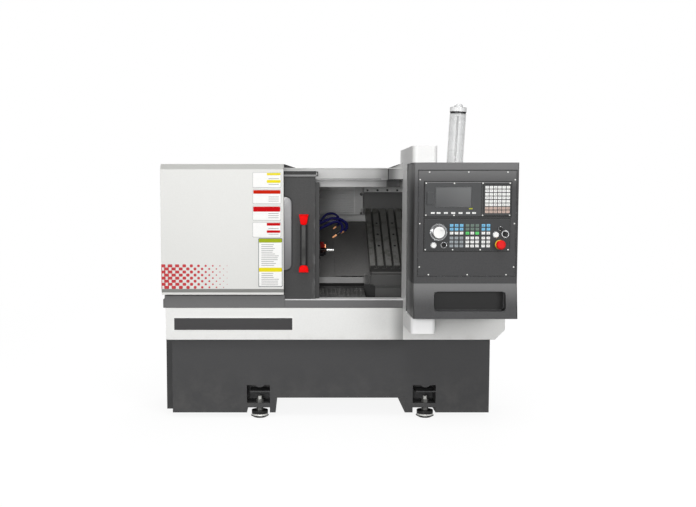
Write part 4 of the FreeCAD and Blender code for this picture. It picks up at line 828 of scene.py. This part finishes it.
# Start in depth and height, yaw, heading, steps, radius and length of the nozzle's nut.
hose_runs = ((-0.002, 0.948, -3, 10, ((0.163, 40), (0.045, -110), (0.032, -82)), 0.0055, 0.006),
             (-0.033, 0.937, 0, 24, ((0, 0.125), (0.0835, -64), (0.026, -110)), 0.0075, 0.005),
             (-0.066, 0.920, 2, 5, ((0.150, 20), (0, 0.098), (0.045, -25), (0.030, -145)), 0.0065, 0.021))


def hose_stations(y, z, yaw, heading, steps, spacing):
    """Middle and direction of each link and of the end. A step is a radius and a turn in
    degrees, or 0 and a straight length."""
    side = Vector((math.cos(math.radians(yaw)), math.sin(math.radians(yaw)), 0.0))
    lengths = [turn if radius == 0 else radius * abs(math.radians(turn)) for radius, turn in steps]
    count = round(sum(lengths) / spacing)
    wanted = [(k + 0.5) * sum(lengths) / count for k in range(count)] + [sum(lengths)]
    here, angle, walked, found = Vector((manifold_x - 0.006, y, z)), math.radians(heading), 0.0, []
    for (radius, turn), length in zip(steps, lengths):
        bend = math.copysign(1.0 / radius, turn) if radius else 1e-6
        for part in [s - walked for s in wanted if walked < s <= walked + length + 1e-9] + [length]:
            now = angle + bend * part
            there = here + side * ((math.sin(now) - math.sin(angle)) / bend)
            there.z -= (math.cos(now) - math.cos(angle)) / bend
            found.append((there, side * math.cos(now) + Vector((0, 0, math.sin(now)))))
        here, angle, walked = found.pop()[0], now, walked + length
    return found


def set_along(shape, part, places):
    """Copies of a part, its Z laid along each place's direction, join the shape."""
    part_mesh = bpy.data.meshes.new("hose_part")
    part.to_mesh(part_mesh)
    part.free()
    for middle, along in places:
        shape.from_mesh(part_mesh)
        shape.verts.ensure_lookup_table()
        turned = Matrix.Translation(middle) @ along.to_track_quat("Z", "Y").to_matrix().to_4x4()
        bmesh.ops.transform(shape, matrix=turned, verts=shape.verts[-len(part_mesh.vertices):])
    bpy.data.meshes.remove(part_mesh)


hoses = bmesh.new()
sleeves = bmesh.new()
sharp = 1.0
for y, z, yaw, heading, steps, radius, sleeve in hose_runs:
    stations = hose_stations(y, z, yaw, heading, steps, radius * 1.35)
    link = bmesh.new()
    bmesh.ops.create_cone(link, segments=20, radius1=radius * 1.12, radius2=radius * 0.84,
                          depth=radius * 1.42, cap_ends=True)
    round_off(link, [e for e in link.edges if max(v.co.z for v in e.verts) < 0], radius * 0.22)
    set_along(hoses, link, stations[:-1])
    end, along = stations[-1]
    nut = bmesh.new()
    bmesh.ops.create_cone(nut, segments=24, radius1=radius + 0.0022, radius2=radius + 0.0014,
                          depth=sleeve, cap_ends=True)
    round_off(nut, [e for e in nut.edges if e.calc_face_angle(0.0) > sharp], 0.0006)
    set_along(sleeves, nut, [(end + along * (sleeve / 2), along)])
manifold_low, manifold_high = Vector((-0.148, -0.080, 0.905)), Vector((manifold_x, 0.020, 0.985))
manifold = block(hoses, manifold_high - manifold_low, (manifold_low + manifold_high) / 2)
round_off(hoses, edges_of(manifold), 0.0025)
piece = keep_piece("jointed_hoses", hoses, "frame", "blue_hose", hose_blue, smooth=True)
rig.replaces(piece, "coolant_hoses")
keep_piece("nozzle_sleeves", sleeves, "frame", "black_plastic",
           enamel("sleeve_black", tone(26, 26, 28), 0.3, 0.15), smooth=True)
coat(machined("nozzle_copper", tone(248, 182, 132), 0.34, (1.0, 0.3, 1.0), grime=0.1, wear=0.4),
     "coolant_nozzles")


# Sliding door: a folded panel in the console's graphite with a hammered grain, rubbed
# along its closing edge; it hangs from a rail by two rollers.
def door_rub(mix, base):
    edge = mix.x.steps(-0.112, -0.094) * mix.noise(0.03, 4.0, 0.6, (1.0, 1.0, 0.3)).steps(0.45, 0.7)
    return mix.blend(edge * 0.35, base, grey(0.24))


def hanger_bands(mix, base):
    """Near-black roller track over a pale strip, door paint below it."""
    track = mix.blend((mix.z > 1.2135) * 0.9, base, grey(0.008))
    return mix.blend(mix.z.between(1.2040, 1.2130) * (mix.x < -0.087) * 0.9, track, grey(0.24))


coat(painted("door_hammertone", tone(50), 0.42, 0.0034, 0.0004, 0.16, 0.4, pattern=door_rub), "door_panel")
coat(painted("hanger_dark", tone(50), 0.42, 0.0026, 0.0001, 0.08, 0.6, pattern=hanger_bands), "door_hanger")
coat(blackened, "door_roller_left", "door_roller_right")


# Door window: a laminated pane, grey with a cloudy painted reflection, held in a black rubber profile that grips the
# cut edge of the sheet on both faces.
pane = Finish("laminated_pane")
# Painted reflection: clouds of paler grey.
haze_and_reflection = pane.noise(0.25, 3.0, 0.5, (1.0, 1.0, 0.5)).steps(0.2, 0.8)
coat(pane.shade(pane.blend(haze_and_reflection, tone(118, 118, 120), tone(146, 146, 148)), haze_and_reflection * 0.08 + 0.10,
                Coat_Weight=0.6, Alpha=0.92,
                Normal=pane.bump(pane.noise(0.12, 1.0), 0.0002, 0.3)), "door_window")

rubber = Finish("black_rubber")
bloom = rubber.noise(0.02, 3.0, 0.6)
rubber.shade(rubber.blend(bloom, grey(0.012), (0.030, 0.030, 0.031)), bloom * 0.15 + 0.55,
             Normal=rubber.bump(rubber.noise(0.0008), 0.00004, 0.6))


def ring_of(shape, left, right, low, high, y, corner, width, thick):
    """A frame with rounded corners, its front on y, its rail width wide and thick deep."""
    sheet = bmesh.ops.create_grid(shape, x_segments=1, y_segments=1, size=0.5)["verts"]
    bmesh.ops.scale(shape, vec=(right - left, high - low, 1.0), verts=sheet)
    round_off(shape, sheet, corner, 6, "VERTICES")
    upright = Matrix.Rotation(math.radians(90), 3, "X")
    bmesh.ops.rotate(shape, cent=(0, 0, 0), matrix=upright, verts=shape.verts)
    bmesh.ops.translate(shape, vec=((left + right) / 2, y, (low + high) / 2), verts=shape.verts)
    hole = list(shape.faces)
    bmesh.ops.inset_region(shape, faces=hole, thickness=width, use_even_offset=True, use_boundary=True)
    bmesh.ops.delete(shape, geom=hole, context="FACES")
    thicken(shape, list(shape.faces), thick)
    rims = [e for e in shape.edges if e.calc_face_angle(0.0) > sharp and rise(e) < 1e-6]
    round_off(shape, rims, min(width, thick) * 0.3)


door_low, door_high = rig.box("door_panel")
for name, y in (("window_seal_front", door_low.y - 0.0022), ("window_seal_back", door_high.y - 0.0002)):
    seal = bmesh.new()
    ring_of(seal, -0.512, -0.202, 0.737, 1.111, y, corner=0.037, width=0.0075, thick=0.0024)
    keep_piece(name, seal, "door", "black_plastic", rubber.material, smooth=True)


# Door handle: a black extruded bar with a brushed insert down its face, between two
# moulded red caps that are screwed through the door.
moulded_red = enamel("moulded_red", tone(240, 2, 4), 0.46, gloss=0.08)
coat(enamel("moulded_black", tone(30, 30, 31), 0.40, 0.15), "door_handle")
caps = bmesh.new()
handle_x = -0.149
cap_low, cap_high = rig.box("handle_caps")
for foot, head, foot_half, head_half, rounding in ((0.967, cap_high.z, 0.0145, 0.0235, 0.0115),
                                                   (cap_low.z, 0.771, 0.0235, 0.0225, 0.0215)):
    body = bmesh.ops.create_cube(caps, size=1.0)["verts"]
    for v in body:
        v.co.x = handle_x + (head_half if v.co.z > 0 else foot_half) * (1 if v.co.x > 0 else -1)
        v.co.y = cap_high.y if v.co.y > 0 else cap_low.y
        v.co.z = head if v.co.z > 0 else foot
    across = [e for e in edges_of(body) if rise(e) > 0.01]
    narrow = [e for e in across if (e.verts[0].co.z > (foot + head) / 2) == (head_half < foot_half)]
    wide = [e for e in across if e not in narrow]
    round_off(caps, narrow, rounding, 8)
    round_off(caps, [e for e in wide if e.is_valid], 0.003, 4)
round_off(caps, [e for e in caps.edges if all(abs(v.co.y - cap_low.y) < 1e-5 for v in e.verts)], 0.004, 4)
piece = keep_piece("door_handle_caps", caps, "door", "red_plastic", moulded_red, smooth=True)
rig.replaces(piece, "handle_caps")
insert = bmesh.new()
block(insert, (0.017, 0.0016, 0.194), (handle_x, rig.box("door_handle")[0].y - 0.0002, 0.869))
round_off(insert, list(insert.edges), 0.0006)
keep_piece("handle_insert", insert, "door", "black_plastic",
           machined("satin_insert", tone(72, 72, 71), 0.42, (1.0, 1.0, 0.05), 0.15, 0.2))


# Console: a folded housing and front plate in graphite hammertone, screwed together from the front; the leaning foot,
# the head and the back of the left side are painted paler, a painted sheen, and the pocket near-black, a painted
# shade.
def pocket_shade_and_sheen(mix, base):
    """The pocket low in the console is painted near-black, a painted shade; foot, head and the back of the left side
    are painted paler, a painted sheen; the right edge is darkened.
    """
    pocket_y, plate_foot, lean_back, console_left = -0.561, 0.712, 0.2453, 0.3485
    behind = mix.y - pocket_y + (plate_foot - mix.z) * lean_back
    inside = mix.x.between(0.444, 0.767) * mix.z.between(0.588, 0.674) * (behind > 0.003) * (mix.y < -0.34)
    # Painted sheen on foot, head and the back of the left side.
    sheen = (mix.z < 0.7125) * mix.z.steps(0.600, 0.7125) * 0.40 + mix.z.steps(1.130, 1.250) * 0.40
    sheen = sheen + (mix.x < console_left) * mix.y.steps(-0.50, -0.36) * 0.5
    paler = mix.blend(sheen, base, tone(150))
    edged = mix.blend((mix.x > 0.8190) * 0.7, paler, grey(0.008))
    return mix.blend(inside * 0.97, edged, grey(0.006))


def outlined(wide, *names):
    """A pattern that draws a dark joint, wide metres across, round these nodes' outlines."""
    def pattern(mix, base):
        base = pocket_shade_and_sheen(mix, base)
        for name in names:
            low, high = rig.box(name)
            joint = mix.outside(low.x, high.x, low.z, high.z).between(-0.0002, wide)
            base = mix.blend(joint * 0.92, base, grey(0.004))
        return base
    return pattern


# The console's corners are also painted pale, a painted highlight.
coat(painted("console_hammertone", tone(60, 60, 61), 0.46, 0.0030, 0.0004, 0.14, 0.45,
             pattern=outlined(0.0035, "console_plate"), rub=0.30, rim=0.004), "console_box")
coat(painted("console_plate_paint", tone(57, 57, 58), 0.46, 0.0026, 0.0004, 0.12, 0.35,
             pattern=outlined(0.0045, "display_unit", "operator_panel")), "console_plate")
coat(enamel("bright_screws", tone(242, 242, 238), 0.24), "console_screws")


# Display and operator panels: moulded frames in charcoal with a fine spark-eroded texture, screwed to the console's
# plate; the memory-stick flap is the same moulding. Their edges are painted pale as painted highlight, their left side
# walls dark as painted shade.
def moulded(name, colour, pattern=None):
    mix = Finish(name)
    spark = mix.noise(0.0009, 2.0, 0.6)
    cloud = mix.noise(0.08, 3.0, 0.5)
    corners, soft = mix.edges(0.0026)
    base = mix.blend(cloud, tinted(colour, 0.9), tinted(colour, 1.1))
    if pattern:
        base = pattern(mix, base)
    # Painted highlight: every edge is paler.
    return mix.shade(mix.blend(corners * 0.45, base, grey(0.30)), cloud * 0.08 + 0.46,
                     Normal=mix.bump(spark, 0.00006, 0.7, soft), Specular_IOR_Level=0.35)


def left_side_shade(name):
    """A pattern that darkens a panel's left side wall with painted shade."""
    def pattern(mix, base):
        return mix.blend((mix.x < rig.box(name)[0].x + 0.0012) * 0.95, base, grey(0.004))
    return pattern


def display_joints_and_highlight(mix, base):
    """The dark joint between display and key block, the key block's frame, and the top edge painted pale, a painted
    highlight; the left side wall gets painted shade.
    """
    off = mix.outside(0.6633, 0.7833, 1.0238, 1.1598)
    key_joint_x, display_top = 0.6528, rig.box("display_unit")[1].z
    dark = off.between(0.0, 0.0055) * 0.8 + (abs(mix.x - key_joint_x) < 0.0020)
    # Painted highlight: the top edge is paler.
    top_highlight = mix.blend((mix.z > display_top - 0.0025) * 0.6, base, grey(0.30))
    return left_side_shade("display_unit")(mix, mix.blend(dark, top_highlight, grey(0.006)))


charcoal = moulded("moulded_charcoal", tone(65, 66, 67), display_joints_and_highlight)
coat(charcoal, "display_unit", "usb_flap")
coat(moulded("operator_sheet", tone(50, 51, 52), left_side_shade("operator_panel")), "operator_panel")


# Screen: a liquid-crystal panel, switched off, under anti-glare glass; its colour is painted paler towards the upper
# right corner, a painted reflection.
screen_low, screen_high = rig.box("display_screen")
screen = Finish("screen_glass")
glare = screen.z.steps(screen_low.z - 0.02, screen_high.z + 0.01) * 0.6
glare = glare + screen.x.steps(screen_low.x, screen_high.x) * 0.4
coat(screen.shade(screen.blend(glare, tone(60, 61, 62), tone(96, 97, 98)),
                  screen.noise(0.05, 3.0) * 0.08 + 0.34, Coat_Weight=0.15,
                  Normal=screen.bump(screen.noise(0.0004, 1.0), 0.00001, 0.4)), "display_screen")


# Screen surround and status mark: a raised lip round the glass and round the key
# block, and one small yellow-green status field with nothing on it.
for name, left, right, low, high, y, width, thick, finish in (
        ("screen_lip", 0.4435, 0.6085, 1.0575, 1.1525, -0.5662, 0.0022, 0.0014, charcoal),
        ("key_block_lip", 0.6630, 0.7835, 1.0235, 1.1600, -0.5660, 0.0018, 0.0012,
         moulded("lip_black", tone(34, 34, 35)))):
    lip = bmesh.new()
    ring_of(lip, left, right, low, high, y, 0.0025, width, thick)
    keep_piece(name, lip, "frame", "black_plastic", finish)

status = bmesh.new()
block(status, (0.0165, 0.0006, 0.0055), (0.6045, -0.5653, 1.0525))
round_off(status, list(status.edges), 0.0002, 1)
keep_piece("status_field", status, "frame", "yellow_plastic", enamel("status_green", tone(176, 182, 44)))


# Keys: silicone-rubber caps with rounded shoulders, printed in their group's colour
# and each with one or two plain bars in place of a legend.
key_inks = enamels("key_", 0.42, white=(238, 238, 236), blue=(118, 186, 222), green=(96, 212, 112),
                   slate=(104, 122, 112), grey=(150, 156, 160), tan=(196, 172, 160), bar=(64, 66, 70))
key_caps = bmesh.new()
cap_deep = 0.0018
marks = random.Random(11)


def key_cap(x, z, front, wide, tall, ink):
    before = set(key_caps.faces)
    cap = block(key_caps, (wide, cap_deep, tall), (x, front - cap_deep / 2, z))
    round_off(key_caps, edges_of(cap), cap_deep / 2)
    dye(key_caps, before, list(key_inks).index(ink))
    before = set(key_caps.faces)
    for k in range(marks.choice((1, 1, 2))):
        block(key_caps, (wide * marks.uniform(0.25, 0.5), 0.0003, tall * 0.10),
              (x, front - cap_deep - 0.00012, z + tall * (0.14 - 0.26 * k)))
    dye(key_caps, before, list(key_inks).index("bar"))


display_front, operator_front = -0.565, -0.564
first_x, column_pitch, first_z, row_pitch = 0.6765, 0.0191, 1.1485, 0.0157
for row in range(8):
    for column in range(6):
        key_cap(first_x + column_pitch * column, first_z - row_pitch * row, display_front, 0.016, 0.012,
                "white" if row < 6 else "tan")
for x in (0.433, 0.459, 0.492, 0.525, 0.558, 0.592, 0.619):
    key_cap(x, 1.033, display_front, 0.018, 0.008, "white")
operator_columns = ((0.519, 0.5415, 0.564), (0.591, 0.613, 0.635), (0.663, 0.6855))
for z, *row_inks in ((0.977, "blue", "slate", "blue"), (0.960, "blue", "slate", "blue"),
                     (0.942, "white", "green", "white"), (0.920, "grey", "white", "white"),
                     (0.902, "grey", "white", "white"), (0.884, "grey", "white", "white")):
    for group, ink in zip(operator_columns, row_inks):
        for place, x in enumerate(group):
            key_cap(x, z, operator_front, 0.016, 0.0124, "white" if ink == "green" and place == 1 else ink)
piece = keep_piece("panel_key_caps", key_caps, "frame", "key_rubber", *key_inks.values(), smooth=True)
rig.replaces(piece, "panel_keys")


# Handwheel and dials: an electronic handwheel with a white face, a hundred printed
# divisions and a finger knob, white push buttons, black knobs, chromed bezels, and a
# red mushroom stop on a yellow ring.
wheel_x, wheel_z = 0.460, 0.946
wheel = Finish("handwheel_face")
right, up = wheel.x - wheel_x, wheel.z - wheel_z
radius = distance(right, up)
turn = right.math("ARCTAN2", right, up) / (2 * math.pi) + 1.0
scale_rim, fine_foot, coarse_foot, ring_rim = 0.0305, 0.0283, 0.0268, 0.0260


def divisions(count, foot, thin):
    """Printed strokes from foot to the scale's rim; thin nears 0.5 as they get finer."""
    share = turn * count
    return radius.between(foot, scale_rim) * (abs(share.math("FRACT", share) - 0.5) > thin)


ticks = divisions(100.0, fine_foot, 0.36) + divisions(10.0, coarse_foot, 0.484)
dark_ring = radius.steps(ring_rim - 0.0002, ring_rim + 0.0002)
wheel_cloud = wheel.noise(0.02, 3.0)
pale_face = wheel.blend(wheel_cloud, tone(236, 236, 234), tone(246, 246, 245))
face = wheel.blend(dark_ring, pale_face, tone(44, 44, 46))
coat(wheel.shade(wheel.blend(ticks.lesser(1.0) * 0.8, face, tone(230)), wheel_cloud * 0.08 + 0.26,
                 Normal=wheel.bump(wheel.noise(0.0008), 0.00002, 0.5, wheel.edges(0.001)[1])), "handwheel")
coat(enamel("button_white", tone(240, 240, 238), 0.26), "button_left", "button_right")
coat(enamel("knob_black", tone(24, 24, 25), 0.30, 0.15), "knob_small", "selector", "stop_stem", "key_switch")
coat(chrome.material, "panel_bezels")
coat(enamel("stop_yellow", tone(240, 208, 62), 0.34), "stop_ring")
coat(enamel("stop_red", tone(222, 2, 4), 0.36), "stop_button")


# Signal lamp: a clear ribbed tube on a black foot, with a slim board of lamps up its
# middle and a pale cap on a black ring; it leans a little, as on the machine.
lean = math.radians(3.0)
foot_point = Vector((0.646, 0.170, 1.24723))
to_lamp = Matrix.Translation(foot_point) @ Matrix.Rotation(lean, 4, "Y")
lens_height = (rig.box("lamp_lens")[1].z - foot_point.z) / math.cos(lean) - 0.003
tube_foot, first_ring, second_ring = 0.016, 0.099, 0.183
tube = bmesh.new()
circle = bmesh.ops.create_circle(tube, segments=72, radius=0.0425)["verts"]
for v in circle[1::2]:
    v.co *= 1.010
bmesh.ops.translate(tube, vec=(0, 0, tube_foot), verts=circle)
rim_edges = list(tube.edges)
ring_edges = [ring + side for ring in (first_ring, second_ring) for side in (-0.001, 0.001)]
for height in (*ring_edges, 0.268, lens_height):
    grown = bmesh.ops.extrude_edge_only(tube, edges=rim_edges)["geom"]
    verts = [v for v in grown if isinstance(v, bmesh.types.BMVert)]
    rim_edges = [e for e in grown if isinstance(e, bmesh.types.BMEdge)]
    bmesh.ops.translate(tube, vec=(0, 0, height - verts[0].co.z), verts=verts)
bmesh.ops.recalc_face_normals(tube, faces=tube.faces)
bmesh.ops.solidify(tube, geom=list(tube.faces), thickness=0.0022)
bmesh.ops.transform(tube, matrix=to_lamp, verts=tube.verts)
clear = Finish("lamp_clear")
cast = clear.noise(0.010, 3.0, 0.6, (1.0, 1.0, 0.3))
clear.shade(clear.blend(cast, (0.66, 0.67, 0.67), (0.82, 0.83, 0.83)), cast * 0.10 + 0.10,
            Alpha=cast * 0.14 + 0.22, Coat_Weight=0.3, Normal=clear.bump(cast, 0.0003, 0.5))
piece = keep_piece("lamp_tube", tube, "frame", "clear_lens", clear.material, smooth=True)
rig.replaces(piece, "lamp_lens")

core = bmesh.new()
board_high = lens_height - 0.026
block(core, (0.0045, 0.030, board_high), (0.0, 0.0, tube_foot + board_high / 2))
before = set(core.faces)
for k in range(16):
    for side in (-1, 1):
        led = bmesh.ops.create_uvsphere(core, u_segments=8, v_segments=6, radius=0.0026)["verts"]
        middle = (side * 0.0024, -0.007 + 0.014 * (k % 2), 0.030 + k * 0.0155)
        bmesh.ops.translate(core, vec=middle, verts=led)
dye(core, before, 1)
before, disc_radius = set(core.faces), 0.0395
for height in (first_ring, second_ring):
    disc = bmesh.ops.create_cone(core, segments=48, radius1=disc_radius, radius2=disc_radius,
                                 depth=0.0016, cap_ends=True)
    bmesh.ops.translate(core, vec=(0, 0, height), verts=disc["verts"])
dye(core, before, 2)
bmesh.ops.transform(core, matrix=to_lamp, verts=core.verts)
keep_piece("lamp_board", core, "frame", "black_plastic", moulded("board_grey", tone(96, 97, 98)),
           enamel("led_dome", tone(228, 226, 214), 0.2), clear.material)
mix = Finish("lamp_cap")
along = (mix.z - foot_point.z) * math.cos(lean) + (mix.x - foot_point.x) * math.sin(lean)
ring_high = lens_height + 0.0105
in_black = (along < ring_high).greater(along.between(ring_high + 0.0215, ring_high + 0.0245))
cap_cloud = mix.noise(0.02, 3.0)
pale_cap = mix.blend(cap_cloud, tone(222, 223, 223), tone(240))
coat(mix.shade(mix.blend(in_black, pale_cap, tone(30, 30, 31)), cap_cloud * 0.1 + 0.2,
               Normal=mix.bump(cap_cloud, 0.0001, 0.4, mix.edges(0.0015)[1])), "lamp_fittings")


with open("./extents.json", "w") as size_file:
    json.dump({"cad": cad_box, "visual": [list(corner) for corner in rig.bounds()]}, size_file)
